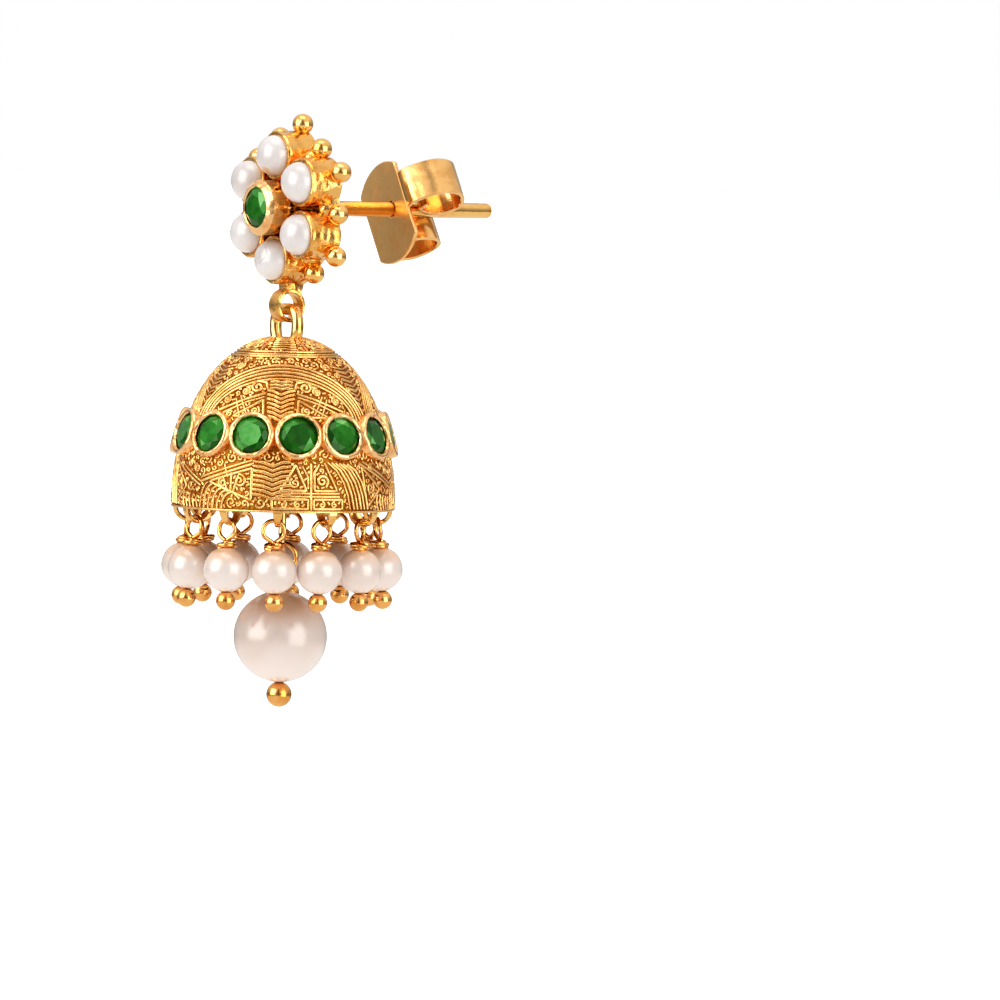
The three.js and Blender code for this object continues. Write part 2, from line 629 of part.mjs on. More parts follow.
// The large pearl's line hangs from the link, and the link from the rod's eye.
const linkTop = rodEyeZ - ROD_EYE_RADIUS + ROD_EYE_WIRE + LINK_WIRE + TOUCH;
const linkMiddle = linkTop - LINK_RADIUS;
const mainEyeTop = linkMiddle - LINK_RADIUS + LINK_WIRE + LINK_WIRE + TOUCH;
const mainHalfHeight = MAIN_PEARL_HEIGHT / 2;
const mainPearlZ = -MAIN_EYE_HEIGHT - MAIN_COIL_HEIGHT - TOUCH - mainHalfHeight;
const mainPinSizes = {
  eyeHalfWidth: MAIN_EYE_HALF_WIDTH,
  eyeHeight: MAIN_EYE_HEIGHT,
  coilRadius: MAIN_COIL_RADIUS,
  coilHeight: MAIN_COIL_HEIGHT,
  wire: LINK_WIRE,
  ballRadius: MAIN_BALL_RADIUS,
  ballZ: mainPearlZ - ballDrop(MAIN_PEARL_RADIUS, mainHalfHeight, MAIN_BALL_RADIUS),
  sides: 10,
};

function addMesh(parent, name, geometry, material) {
  const mesh = new THREE.Mesh(geometry, material.clone());
  mesh.name = name;
  parent.add(mesh);
  return mesh;
}

function addGroup(parent, x, y, z) {
  const group = new THREE.Group();
  group.position.set(x, y, z);
  parent.add(group);
  return group;
}

const earring = new THREE.Group();

// The flower, with its stone and half pearls facing the front.
addMesh(earring, "flower_setting", geometryOf(flowerSetting()), GOLD);
const flowerStone = addMesh(earring, "flower_stone", geometryOf(cutStone(FLOWER_STONE_RADIUS, true)), GREEN);
flowerStone.position.y = -flowerStoneGirdle;
flowerStone.rotation.x = Math.PI / 2;
const halfPearlGeometry = geometryOf(halfPearl());
for (let i = 0; i < PETALS; i++) {
  const [x, z] = petalCentre(i);
  const pearl = addMesh(earring, `half_pearl_${i + 1}`, halfPearlGeometry, PEARL);
  pearl.position.set(x, -FLOWER_DEPTH, z);
  pearl.rotation.x = Math.PI / 2;
}

const clutchOnPost = addMesh(earring, "clutch", geometryOf(clutch()), GOLD);
clutchOnPost.position.y = CLUTCH_DISTANCE;
clutchOnPost.rotation.y = rad(-CLUTCH_TURN);

// The bell, its stones and its drops.
const hanging = addGroup(earring, 0, -RING_SETBACK, 0);
hanging.rotation.z = rad(BELL_TURN);
addMesh(hanging, "bell", geometryOf(bell()), GOLD);
const bandStoneGeometry = geometryOf(cutStone(BAND_STONE_RADIUS, false));
for (let i = 0; i < BAND_STONES; i++) {
  addMesh(hanging, `band_stone_${i + 1}`, bandStoneGeometry, GREEN).applyMatrix4(bandStoneFrame(i));
}

// A drop's eye lies in its lug, and the drop leans about the line where the two wires meet.
const eyeTop = rimZ - lugRadius + LUG_BAR + WIRE_RADIUS + TOUCH;
const rimPinGeometry = geometryOf(headPin(rimPinSizes));
const rimPearlGeometry = geometryOf(drilledPearl(PEARL_RADIUS, PEARL_RADIUS, 10, 5));
for (let i = 0; i < DROPS; i++) {
  const { outward, sideways } = HANG[i % HANG.length];
  const around = addGroup(hanging, 0, 0, eyeTop);
  around.rotation.z = rad(dropAzimuth(i));
  const drop = addGroup(around, 0, -rimMiddle, 0);
  drop.rotation.set(rad(-outward), rad(sideways), 0);
  addMesh(drop, `rim_pin_${i + 1}`, rimPinGeometry, GOLD);
  addMesh(drop, `rim_pearl_${i + 1}`, rimPearlGeometry, PEARL).position.z = pearlZ;
}

const link = addMesh(hanging, "main_link", geometryOf(wireRing(LINK_RADIUS, LINK_WIRE, 14)), GOLD);
link.position.z = linkMiddle;
link.rotation.x = Math.PI / 2;
const mainDrop = addGroup(hanging, 0, 0, mainEyeTop);
mainDrop.rotation.z = Math.PI / 2;
addMesh(mainDrop, "main_pin", geometryOf(headPin(mainPinSizes)), GOLD);
const mainPearlGeometry = geometryOf(drilledPearl(MAIN_PEARL_RADIUS, mainHalfHeight, 16, 9));
addMesh(mainDrop, "main_pearl", mainPearlGeometry, PEARL).position.z = mainPearlZ;

export default earring;
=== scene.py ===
import math
import random
from collections import Counter

import bpy
from mathutils import Matrix, Vector, noise


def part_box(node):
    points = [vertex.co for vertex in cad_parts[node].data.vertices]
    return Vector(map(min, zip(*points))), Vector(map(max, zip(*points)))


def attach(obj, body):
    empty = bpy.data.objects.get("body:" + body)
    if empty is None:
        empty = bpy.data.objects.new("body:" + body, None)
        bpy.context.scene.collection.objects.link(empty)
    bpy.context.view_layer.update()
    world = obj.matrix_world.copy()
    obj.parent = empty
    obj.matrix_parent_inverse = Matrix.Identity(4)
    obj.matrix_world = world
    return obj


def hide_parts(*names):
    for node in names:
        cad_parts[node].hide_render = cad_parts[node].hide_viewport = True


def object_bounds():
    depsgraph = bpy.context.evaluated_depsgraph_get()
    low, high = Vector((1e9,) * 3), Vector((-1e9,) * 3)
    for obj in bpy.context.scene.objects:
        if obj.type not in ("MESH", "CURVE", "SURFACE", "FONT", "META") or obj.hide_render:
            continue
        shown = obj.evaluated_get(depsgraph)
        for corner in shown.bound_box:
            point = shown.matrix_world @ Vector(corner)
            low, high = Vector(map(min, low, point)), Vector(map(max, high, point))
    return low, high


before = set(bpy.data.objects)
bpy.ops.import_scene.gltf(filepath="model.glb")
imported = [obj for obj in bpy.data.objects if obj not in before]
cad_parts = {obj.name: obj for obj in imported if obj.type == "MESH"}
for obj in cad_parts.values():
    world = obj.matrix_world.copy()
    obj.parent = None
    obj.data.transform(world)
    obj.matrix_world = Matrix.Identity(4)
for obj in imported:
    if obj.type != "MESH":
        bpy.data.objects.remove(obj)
cad_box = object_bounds()


# The view. The earring hangs a degree out of plumb and is seen from its right side, nearly level, through
# a long lens. The camera is placed so that the post's axis at the flower's back meets its own pixel.
MM = 0.001
VIEW_AZIMUTH = math.radians(54.8)
VIEW_ELEVATION = math.radians(2.5)
VIEW_ROLL = math.radians(1.25)
LENS = 300.0
SENSOR = 36.0
PICTURE = 1000
PIXELS_PER_MM = 16.0
ORIGIN_PIXEL = (303.9, 208.1)

level_right = Vector((math.cos(VIEW_AZIMUTH), math.sin(VIEW_AZIMUTH), 0))
towards_camera = Vector((
    math.sin(VIEW_AZIMUTH) * math.cos(VIEW_ELEVATION),
    -math.cos(VIEW_AZIMUTH) * math.cos(VIEW_ELEVATION),
    math.sin(VIEW_ELEVATION),
))
level_up = towards_camera.cross(level_right)
view_right = level_right * math.cos(VIEW_ROLL) + level_up * math.sin(VIEW_ROLL)
view_up = towards_camera.cross(view_right)
aim = (
    view_right * (PICTURE / 2 - ORIGIN_PIXEL[0]) - view_up * (PICTURE / 2 - ORIGIN_PIXEL[1])
) / PIXELS_PER_MM
distance = LENS / SENSOR * PICTURE / PIXELS_PER_MM

camera_data = bpy.data.cameras.new("view")
camera_data.lens = LENS
camera_data.sensor_width = SENSOR
camera_data.clip_start = 0.01


def add_object(name, data):
    item = bpy.data.objects.new(name, data)
    bpy.context.scene.collection.objects.link(item)
    return item


def turned_to(right, forward, up):
    """The rotation that lays X, Y and Z along these three directions."""
    return Matrix((right, forward, up)).transposed().to_4x4()


camera = add_object("view", camera_data)
camera.matrix_world = (
    Matrix.Translation((aim + towards_camera * distance) * MM)
    @ turned_to(view_right, view_up, towards_camera)
)
bpy.context.scene.camera = camera


# The studio: a white room with a pale floor under the earring, and soft boxes on both sides of the camera
# that leave a dark strip between them, which polished gold shows as a dark line between two bright patches.
class Wire:
    """One output socket in a node tree. Arithmetic on it adds Math nodes to the tree."""

    def __init__(self, socket):
        self.socket = socket

    def math(self, operation, *values):
        tree = self.socket.id_data
        return add_node(tree, "ShaderNodeMath", {"operation": operation}, dict(enumerate(values)))

    def __add__(self, other):
        return self.math("ADD", self, other)

    def __sub__(self, other):
        return self.math("SUBTRACT", self, other)

    def __rsub__(self, other):
        return self.math("SUBTRACT", other, self)

    def __mul__(self, other):
        return self.math("MULTIPLY", self, other)

    __radd__ = __add__
    __rmul__ = __mul__

    def size(self):
        return self.math("ABSOLUTE", self)

    def between(self, low, high):
        """0 where the value is at low or past it, 1 at high, and a soft step between them."""
        limits = {"From Min": low, "From Max": high, "Value": self}
        soft = {"interpolation_type": "SMOOTHSTEP"}
        return add_node(self.socket.id_data, "ShaderNodeMapRange", soft, limits)


def add_node(tree, kind, settings=None, values=None, output=0):
    """Adds a node, with its settings first and then its sockets' values or links. Returns one output."""
    node = tree.nodes.new(kind)
    for name, value in (settings or {}).items():
        if name == "stops":
            ramp = node.color_ramp
            while len(ramp.elements) < len(value):
                ramp.elements.new(1.0)
            for stop, (place, colour) in zip(ramp.elements, value):
                stop.position = place
                stop.color = (*colour, 1.0)
        else:
            setattr(node, name, value)
    for name, value in (values or {}).items():
        socket = node.inputs[name]
        if isinstance(value, Wire):
            tree.links.new(value.socket, socket)
        else:
            socket.default_value = value
    return Wire(node.outputs[output]) if node.outputs else node


WALL_GLOW = 0.4
CEILING_GLOW = 1.05
FLOOR_GLOW = 0.95
STRIP_GLOW = 0.08  # the dark strip behind the camera, between the soft boxes
HORIZON_SHADE = 0.55  # how much darker the room is where its walls meet the floor
FILL = 1.3  # the room's glow on matt surfaces, as a share of what metal mirrors
FLOOR_GAP = 14.0  # from the lowest ball down to the floor

world = bpy.data.worlds.new("studio")
bpy.context.scene.world = world
world.use_nodes = True
world.node_tree.nodes.clear()
heading = add_node(world.node_tree, "ShaderNodeTexCoord")


def along_axis(axis):
    """How far a ray into the room heads along an axis, from -1 to 1."""
    values = {0: heading, 1: axis}
    return add_node(world.node_tree, "ShaderNodeVectorMath", {"operation": "DOT_PRODUCT"}, values, output=1)


rise = along_axis((0, 0, 1))
facing = along_axis(towards_camera)
side = along_axis(level_right + towards_camera * 0.1)
room = WALL_GLOW + (CEILING_GLOW - WALL_GLOW) * rise.between(0.05, 0.7)
room = room + (FLOOR_GLOW - WALL_GLOW) * (0 - rise).between(0.12, 0.3)
horizon = 1 - (rise + 0.04).size().between(0.02, 0.09)
room = room * (1 - HORIZON_SHADE * horizon)
strip = facing.between(0.5, 0.8) * (rise + 0.1).between(0.0, 0.2)
strip = strip * (1 - (side - 0.05).size().between(0.05, 0.2))
room = room * (1 - strip) + STRIP_GLOW * strip


def light_path(name):
    return add_node(world.node_tree, "ShaderNodeLightPath", output=name)


def glow(colour, strength):
    values = {"Color": (*colour, 1), "Strength": strength}
    return add_node(world.node_tree, "ShaderNodeBackground", None, values)


room = room * (FILL + (1 - FILL) * light_path("Is Glossy Ray"))
backdrop = add_node(world.node_tree, "ShaderNodeMixShader", None, {
    0: light_path("Is Camera Ray"), 1: glow((1, 0.98, 0.95), room), 2: glow((1, 1, 1), 1.0),
})
add_node(world.node_tree, "ShaderNodeOutputWorld", None, {"Surface": backdrop})

lamp_centre = Vector((0, 0, (cad_box[0][2] + cad_box[1][2]) / 2))


def soft_box(name, right, up, toward, width, height, glow_strength, fill_strength):
    """A soft box at millimetres along the view's axes. Metal sees its glow, and matt surfaces its fill."""
    offset = (level_right * right + level_up * up + towards_camera * toward) * MM
    for kind, strength in (("glow", glow_strength), ("fill", fill_strength)):
        lamp = bpy.data.lights.new(f"{name}_{kind}", "AREA")
        lamp.shape = "RECTANGLE"
        lamp.size = width * MM
        lamp.size_y = height * MM
        lamp.energy = strength * math.pi * width * height * MM * MM
        holder = add_object(lamp.name, lamp)
        holder.location = lamp_centre + offset
        holder.rotation_euler = offset.to_track_quat("Z", "Y").to_euler()
        holder.visible_diffuse = kind == "fill"
        holder.visible_glossy = kind == "glow"


soft_box("left_box", -265, 105, 160, 310, 320, 3.8, 0.86)
soft_box("right_box", 235, 20, 235, 270, 300, 3.3, 0.57)
soft_box("top_box", -20, 330, 60, 260, 160, 2.4, 0.9)

# The floor is white paper. Only the camera sees it, so it doesn't tint the gold or the pearls.
bpy.ops.mesh.primitive_plane_add(size=12.0, location=(0, 0, cad_box[0][2] - FLOOR_GAP * MM))
floor = bpy.context.object
floor.name = "floor"
paper = bpy.data.materials.new("white_paper")
paper.use_nodes = True
for socket, value in {
    "Base Color": (0.93, 0.93, 0.93, 1), "Roughness": 0.9,
    "Emission Color": (1, 1, 1, 1), "Emission Strength": 0.5,
}.items():
    paper.node_tree.nodes["Principled BSDF"].inputs[socket].default_value = value
floor.data.materials.append(paper)
floor.visible_glossy = False
floor.visible_diffuse = False
bpy.context.scene.view_settings.view_transform = "Standard"


# The flower's setting: six cups and a taller collar of gold sheet on a flat plate, with granules soldered
# round the back edge, the ear post behind and a band ring below. All of it is joined with solder.
UP = Vector((0, 0, 1))


def round_angles(count, turned=0.0):
    """That many even angles round a circle, the first at turned steps."""
    return [2 * math.pi * (k + turned) / count for k in range(count)]


def about_z(reach, angle, height):
    return Vector((reach * math.cos(angle), reach * math.sin(angle), height))


class Shape:
    """Points and faces of a piece while it is made, in millimetres in the earring's frame."""

    def __init__(self):
        self.points = []
        self.faces = []
        self.coats = {}

    def coat_with(self, index):
        """Gives the faces that are added from now on the material of that index."""
        self.coats[len(self.faces)] = index

    def add_point(self, point):
        self.points.append(point)
        return len(self.points) - 1

    def turned(self, profile, sides, place=Matrix(), reshape=None):
        """Turns (radius, height) pairs that run up a body's outside about place's Z."""
        rows = []
        for radius, height in profile:
            if rows and (radius, height) == profile[0]:
                rows.append(rows[0])
                continue
            row = []
            for angle in round_angles(sides if radius else 1):
                reach = reshape(radius, height, angle) if reshape and radius else radius
                row.append(self.add_point(place @ about_z(reach, angle, height)))
            rows.append(row)
        for low, high in zip(rows, rows[1:]):
            for k in range(sides):
                n = k + 1
                corners = (low[k % len(low)], low[n % len(low)], high[n % len(high)], high[k % len(high)])
                if len(set(corners)) > 2:
                    self.faces.append(tuple(dict.fromkeys(corners)))

    def swept(self, line, section, out=None, closed=False, widen=None, place=Matrix()):
        """Sweeps a section of (out, across) pairs along a line. Open ends are closed flat."""
        line = [Vector(point) for point in line]
        count = len(line)
        rows = []
        normal = None
        for i, point in enumerate(line):
            after = line[(i + 1) % count] if closed else line[min(i + 1, count - 1)]
            before = line[i - 1] if closed else line[max(i - 1, 0)]
            along = (after - before).normalized()
            if normal is None:
                normal = Vector(out) if out else along.orthogonal()
            normal = (normal - along * normal.dot(along)).normalized()
            across = along.cross(normal)
            wide = widen(i / (count - 1)) if widen else 1
            rows.append([
                self.add_point(place @ (point + normal * x + across * (y * wide))) for x, y in section
            ])
        size = len(section)
        pairs = list(zip(rows, rows[1:]))
        if closed:
            pairs.append((rows[-1], rows[0]))
        for low, high in pairs:
            for k in range(size):
                self.faces.append((low[k], low[(k + 1) % size], high[(k + 1) % size], high[k]))
        if not closed:
            self.faces.append(tuple(reversed(rows[0])))
            self.faces.append(tuple(rows[-1]))

    def ball(self, radius, centre, sides):
        steps = sides // 2
        arc = [(i / steps) * math.pi for i in range(steps + 1)]
        profile = [(radius * math.sin(angle), -radius * math.cos(angle)) for angle in arc[1:-1]]
        self.turned([(0, -radius), *profile, (0, radius)], sides, Matrix.Translation(centre))

    def mesh_object(self, name, *materials, crease=38):
        """The shape as an object in metres, smooth but for edges sharper than crease."""
        mesh = bpy.data.meshes.new(name)
        mesh.from_pydata([point * MM for point in self.points], [], self.faces)
        for material in materials:
            mesh.materials.append(material)
        coat = 0
        for i, face in enumerate(mesh.polygons):
            coat = self.coats.get(i, coat)
            face.material_index = coat
        mesh.shade_smooth()
        mesh.set_sharp_from_angle(angle=math.radians(crease))
        return add_object(name, mesh)


def beside(radius, *pairs):
    """Points of a profile near one radius, given as (further out, height)."""
    return [(radius + out, height) for out, height in pairs]


def round_section(radius, sides):
    return [(radius * math.cos(angle), radius * math.sin(angle)) for angle in round_angles(sides)]


def sheet_section(thickness, width, edge):
    """A strip's section, its thickness first, with all four edges taken off."""
    x, y = thickness / 2, width / 2
    return [
        (x, -y + edge), (x, y - edge), (x - edge, y), (-x + edge, y),
        (-x, y - edge), (-x, -y + edge), (-x + edge, -y), (x - edge, -y),
    ]


def smooth_line(points, steps):
    """Points along a curve that passes evenly through the given ones."""
    knots = [Vector(point) for point in points]
    spans = len(knots) - 1
    line = []
    for i in range(spans * steps + 1):
        span = min(i // steps, spans - 1)
        share = i / steps - span
        a, b, c, d = (knots[max(0, min(spans, span + j))] for j in (-1, 0, 1, 2))
        line.append(0.5 * (
            2 * b + (c - a) * share + (2 * a - 5 * b + 4 * c - d) * share ** 2
            + (3 * b - a - 3 * c + d) * share ** 3
        ))
    return line


class Finish:
    """A material: one Principled surface, and the nodes that feed it."""

    def __init__(self, name, **constants):
        self.material = bpy.data.materials.new(name)
        self.material.use_nodes = True
        self.tree = self.material.node_tree
        self.surface = self.tree.nodes["Principled BSDF"]
        for socket, value in constants.items():
            self.surface.inputs[socket.replace("_", " ")].default_value = value
        self.spot = self.node("ShaderNodeTexCoord", output=3)

    def node(self, kind, settings=None, values=None, output=0):
        return add_node(self.tree, kind, settings, values, output)

    def noise(self, size, detail=3.0):
        """Cloudy noise from 0 to 1 with features of about the size, in millimetres."""
        values = {"Vector": self.spot, "Scale": 1 / (size * MM), "Detail": detail}
        return self.node("ShaderNodeTexNoise", None, values)

    def cells(self, size, feature="F1"):
        values = {"Vector": self.spot, "Scale": 1 / (size * MM)}
        return self.node("ShaderNodeTexVoronoi", {"feature": feature}, values)

    def distance_from(self, point):
        """How far from a point in millimetres the surface is, in metres."""
        values = {0: self.spot, 1: point * MM}
        return self.node("ShaderNodeVectorMath", {"operation": "DISTANCE"}, values, output=1)

    def mixed(self, factor, first, second):
        """Two colours or wires mixed by a factor, from the first at 0 to the second at 1."""
        first, second = ((*c, 1) if isinstance(c, tuple) else c for c in (first, second))
        values = {0: factor, 6: first, 7: second}
        return self.node("ShaderNodeMix", {"data_type": "RGBA"}, values, output=2)

    def feed(self, **sockets):
        for socket, wire in sockets.items():
            self.tree.links.new(wire.socket, self.surface.inputs[socket.replace("_", " ")])

    def bump(self, height, depth):
        """Raises the surface by height times depth, in millimetres."""
        values = {"Height": height, "Distance": depth * MM, "Strength": 1.0}
        self.feed(Normal=self.node("ShaderNodeBump", None, values))


def gold_finish(name, colour, deep, roughness, dents, dent_size, grain, grain_size):
    """Yellow gold: bright colour, deeper colour in clouds, and dents and grain in millimetres."""
    finish = Finish(name, Metallic=1.0)
    clouds = finish.noise(1.1, detail=4.0).between(0.42, 0.72)
    finish.feed(
        Base_Color=finish.mixed(clouds, colour, deep),
        Roughness=roughness + 0.12 * finish.noise(0.35) * clouds,
    )
    waves = finish.noise(dent_size, detail=1.0) * dents + finish.noise(grain_size) * grain
    finish.bump(waves, 1.0)
    return finish.material


polished_gold = gold_finish(
    "polished_gold", (0.92, 0.54, 0.17), (0.80, 0.38, 0.07), 0.10, 0.03, 0.9, 0.004, 0.12
)
hammered_gold = gold_finish(
    "hammered_gold", (0.84, 0.46, 0.13), (0.62, 0.24, 0.030), 0.15, 0.17, 0.8, 0.02, 0.16
)
peach_gold = gold_finish(
    "peach_gold", (0.93, 0.55, 0.24), (0.80, 0.39, 0.13), 0.22, 0.12, 0.6, 0.008, 0.10
)

POST_RADIUS = 0.485
CUP_RADIUS = 1.58
PLATE_RADIUS = 4.1
PLATE_THICKNESS = 0.6
COLLAR_RADIUS = 1.75
GRANULE_RADIUS = 0.65
GRANULE_NECK = 0.34
PETAL_GRANULE_CIRCLE = 5.25
NOTCH_GRANULE_CIRCLE = 4.5
GRANULE_DEPTH = 0.45
RING_RADIUS = 1.05
RING_WALL = 0.25
RING_WIDTH = 1.1
TAB_WIDTH = 0.7
PETALS = 6
HAMMERED, POLISHED, PEACH = range(3)  # the setting's coats

facing_front = Matrix.Rotation(math.radians(90), 4, "X")


def box_mm(node):
    """A CAD node's lowest and highest corners in millimetres."""
    low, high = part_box(node)
    return low / MM, high / MM


def middle_mm(node):
    low, high = box_mm(node)
    return (low + high) / 2


setting_low, setting_high = box_mm("flower_setting")
collar_front = -setting_low.y
post_length = setting_high.y
half_pearl_boxes = [box_mm(f"half_pearl_{i + 1}") for i in range(PETALS)]
half_pearl_radius = (half_pearl_boxes[0][1].x - half_pearl_boxes[0][0].x) / 2
petal_centres = [Vector(((low.x + high.x) / 2, 0, (low.z + high.z) / 2)) for low, high in half_pearl_boxes]
seat_depth = -half_pearl_boxes[0][1].y
SETTING_LIP = 0.5  # how far a cup's wall stands past its pearl's seat
cup_depth = seat_depth + SETTING_LIP
stone_low, stone_high = box_mm("flower_stone")
flower_stone_radius = (stone_high.x - stone_low.x) / 2

shown_pearl_radius = half_pearl_radius - 0.09
setting = Shape()
for index, centre in enumerate(petal_centres):

    def hammered(radius, height, angle, index=index):
        spot = about_z(1.3, angle, height * 0.7 + 9 * index)
        dent = 0.05 * noise.noise(spot) + 0.022 * noise.noise(spot * 3.1) - 0.02
        if radius < shown_pearl_radius + 0.02:
            return radius + 0.02 * noise.noise(spot * 2.3)
        return radius + dent

    setting.turned([(0, 0.05), *beside(
        CUP_RADIUS, (-0.06, 0.05), (0, 0.11), (0, 0.4), (-0.01, 0.8), (-0.015, 1.2), (-0.01, 1.6),
        (-0.03, cup_depth - 0.4), (-0.01, cup_depth - 0.3), (-0.01, cup_depth - 0.12),
        (-0.07, cup_depth - 0.02), (-0.16, cup_depth + 0.01),
    ), *beside(
        shown_pearl_radius, (0.06, cup_depth - 0.01), (0.015, cup_depth - 0.07), (0.01, seat_depth - 0.06),
    ), (0, seat_depth - 0.06)], 72, Matrix.Translation(centre) @ facing_front, hammered)

setting.coat_with(POLISHED)
setting.turned([(0, 0), *beside(
    PLATE_RADIUS, (-0.06, 0), (0, 0.06), (0, PLATE_THICKNESS - 0.06), (-0.06, PLATE_THICKNESS),
), (0, PLATE_THICKNESS)], 72, facing_front)
setting.coat_with(HAMMERED)


def scraped(radius, height, angle):
    if radius < COLLAR_RADIUS - 0.2:
        return radius
    return radius + 0.05 * noise.noise(about_z(1.6, angle, height * 0.8)) - 0.015


opening = flower_stone_radius - 0.06
lip_start = collar_front - 0.36
setting.turned([(0, PLATE_THICKNESS / 2), *beside(
    COLLAR_RADIUS, (-0.02, PLATE_THICKNESS / 2), (-0.02, 1.0), (-0.03, 1.6), (-0.03, 2.2),
    (-0.03, lip_start),
), *beside(
    opening, (0.12, lip_start), (0.1, lip_start - 0.06),
), (0.3, collar_front - 1.0), (0, collar_front - 1.0)], 72, facing_front, scraped)
setting.coat_with(PEACH)
setting.turned([(opening + 0.1, lip_start - 0.04), *beside(
    COLLAR_RADIUS, (-0.04, lip_start - 0.04), (0, lip_start + 0.02), (-0.04, lip_start + 0.09),
), *beside(
    opening, (0.15, collar_front - 0.03), (0.08, collar_front - 0.005), (0, collar_front - 0.09),
    (0.1, lip_start - 0.04),
)], 72, facing_front, scraped)

# Solder lies in the notches between the cups.
setting.coat_with(HAMMERED)
for index in range(PETALS):
    angle = math.radians(60 + 60 * index)
    notch = Vector((math.cos(angle), 0, math.sin(angle))) * (PLATE_RADIUS - 0.55)
    setting.turned(
        [(0, 0.3), (0.62, 0.3), (0.56, 0.75), (0.4, 1.05), (0.2, 1.2), (0, 1.24)], 24,
        Matrix.Translation(notch) @ facing_front,
    )

setting.coat_with(POLISHED)
setting.turned([(0, -post_length), *beside(
    POST_RADIUS, (-0.2, -post_length), (-0.06, -post_length + 0.05), (0, -post_length + 0.2),
    (0, -0.22), (0.1, -0.08), (0.28, -0.005),
), (0, 0)], 40, facing_front)

setting.coat_with(HAMMERED)
ring_centre = Vector((0, middle_mm("main_pearl").y, setting_low.z + RING_RADIUS))
half, inside = RING_WIDTH / 2, RING_RADIUS - RING_WALL
setting.turned([
    (inside, -half + 0.05), (inside + 0.05, -half),
    *beside(RING_RADIUS, (-0.07, -half), (0, -half + 0.07), (0, 0), (0, half - 0.07), (-0.07, half)),
    (inside + 0.05, half), (inside, half - 0.05), (inside, -half + 0.05),
], 72, Matrix.Translation(ring_centre) @ Matrix.Rotation(math.radians(90), 4, "Y"))
petal_bottom = min(centre.z for centre in petal_centres) - CUP_RADIUS
ring_top = ring_centre.z + RING_RADIUS
setting.swept([
    (0, -0.25, petal_bottom + 0.42), (0, -0.3, petal_bottom + 0.05), (0, -0.44, ring_top - 0.25),
    (0, -0.6, ring_top - 0.42),
], sheet_section(0.42, TAB_WIDTH, 0.06), out=(0, 1, 0))
setting.swept([
    (0, -1.2, petal_bottom + 0.35), (0, -1.17, petal_bottom + 0.1), (0, -1.12, petal_bottom - 0.12),
    (0, ring_centre.y, ring_top - 0.1),
], sheet_section(0.85, TAB_WIDTH + 0.15, 0.12), out=(0, 1, 0))
flower = setting.mesh_object("flower_setting_fine", hammered_gold, polished_gold, peach_gold)
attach(flower, "stud")
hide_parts("flower_setting")


def node_group(name, *inputs):
    """A Geometry Nodes tree with a geometry and these named inputs, and its inputs as wires."""
    tree = bpy.data.node_groups.new(name, "GeometryNodeTree")
    for socket, kind in (("Geometry", "Geometry"), *inputs, ("Material", "Material")):
        tree.interface.new_socket(socket, in_out="INPUT", socket_type="NodeSocket" + kind)
    tree.interface.new_socket("Geometry", in_out="OUTPUT", socket_type="NodeSocketGeometry")
    entry = tree.nodes.new("NodeGroupInput")
    return tree, {socket.name: Wire(socket) for socket in entry.outputs}


def put_out(tree, geometry, material):
    """Ends a tree: the geometry is made real, coated and put out."""
    real = add_node(tree, "GeometryNodeRealizeInstances", None, {"Geometry": geometry})
    values = {"Geometry": real, "Material": material}
    coated = add_node(tree, "GeometryNodeSetMaterial", None, values)
    tree.links.new(coated.socket, tree.nodes.new("NodeGroupOutput").inputs["Geometry"])


def point_value(tree, name, kind="FLOAT"):
    return add_node(tree, "GeometryNodeInputNamedAttribute", {"data_type": kind}, {"Name": name})


def grow(tree, piece, **inputs):
    """Runs the tree on an object with these inputs, and leaves the plain mesh in the object."""
    modifier = piece.modifiers.new(tree.name, "NODES")
    modifier.node_group = tree
    for item in tree.interface.items_tree:
        if item.in_out == "INPUT" and item.name in inputs:
            modifier[item.identifier] = inputs[item.name]
    ready = piece.evaluated_get(bpy.context.evaluated_depsgraph_get())
    mesh = bpy.data.meshes.new_from_object(ready)
    piece.modifiers.remove(modifier)
    piece.data = mesh


# Copies of one piece are set on points, each turned and sized by the point's own attributes.
setter, given = node_group("set_on_points", ("Piece", "Object"), ("Size", "Float"))
pattern_info = add_node(setter, "GeometryNodeObjectInfo", None, {"Object": given["Piece"]}, output=4)
copies = add_node(setter, "GeometryNodeInstanceOnPoints", None, {
    "Points": given["Geometry"], "Instance": pattern_info,
    "Rotation": point_value(setter, "turn", "FLOAT_VECTOR"),
    "Scale": point_value(setter, "share") * given["Size"],
})
put_out(setter, copies, given["Material"])


def set_on(name, pattern, places, material, shares=None):
    """Sets copies of the pattern shape at places, given as matrices in millimetres."""
    source = pattern.mesh_object(name + "_pattern", material)
    mesh = bpy.data.meshes.new(name)
    mesh.from_pydata([place.to_translation() * MM for place in places], [], [])
    turns = mesh.attributes.new("turn", "FLOAT_VECTOR", "POINT")
    turns.data.foreach_set("vector", [angle for place in places for angle in place.to_euler()])
    sizes = mesh.attributes.new("share", "FLOAT", "POINT")
    sizes.data.foreach_set("value", shares or [1.0] * len(places))
    piece = add_object(name, mesh)
    grow(setter, piece, Piece=source, Size=1.0, Material=material)
    bpy.data.objects.remove(source)
    return piece


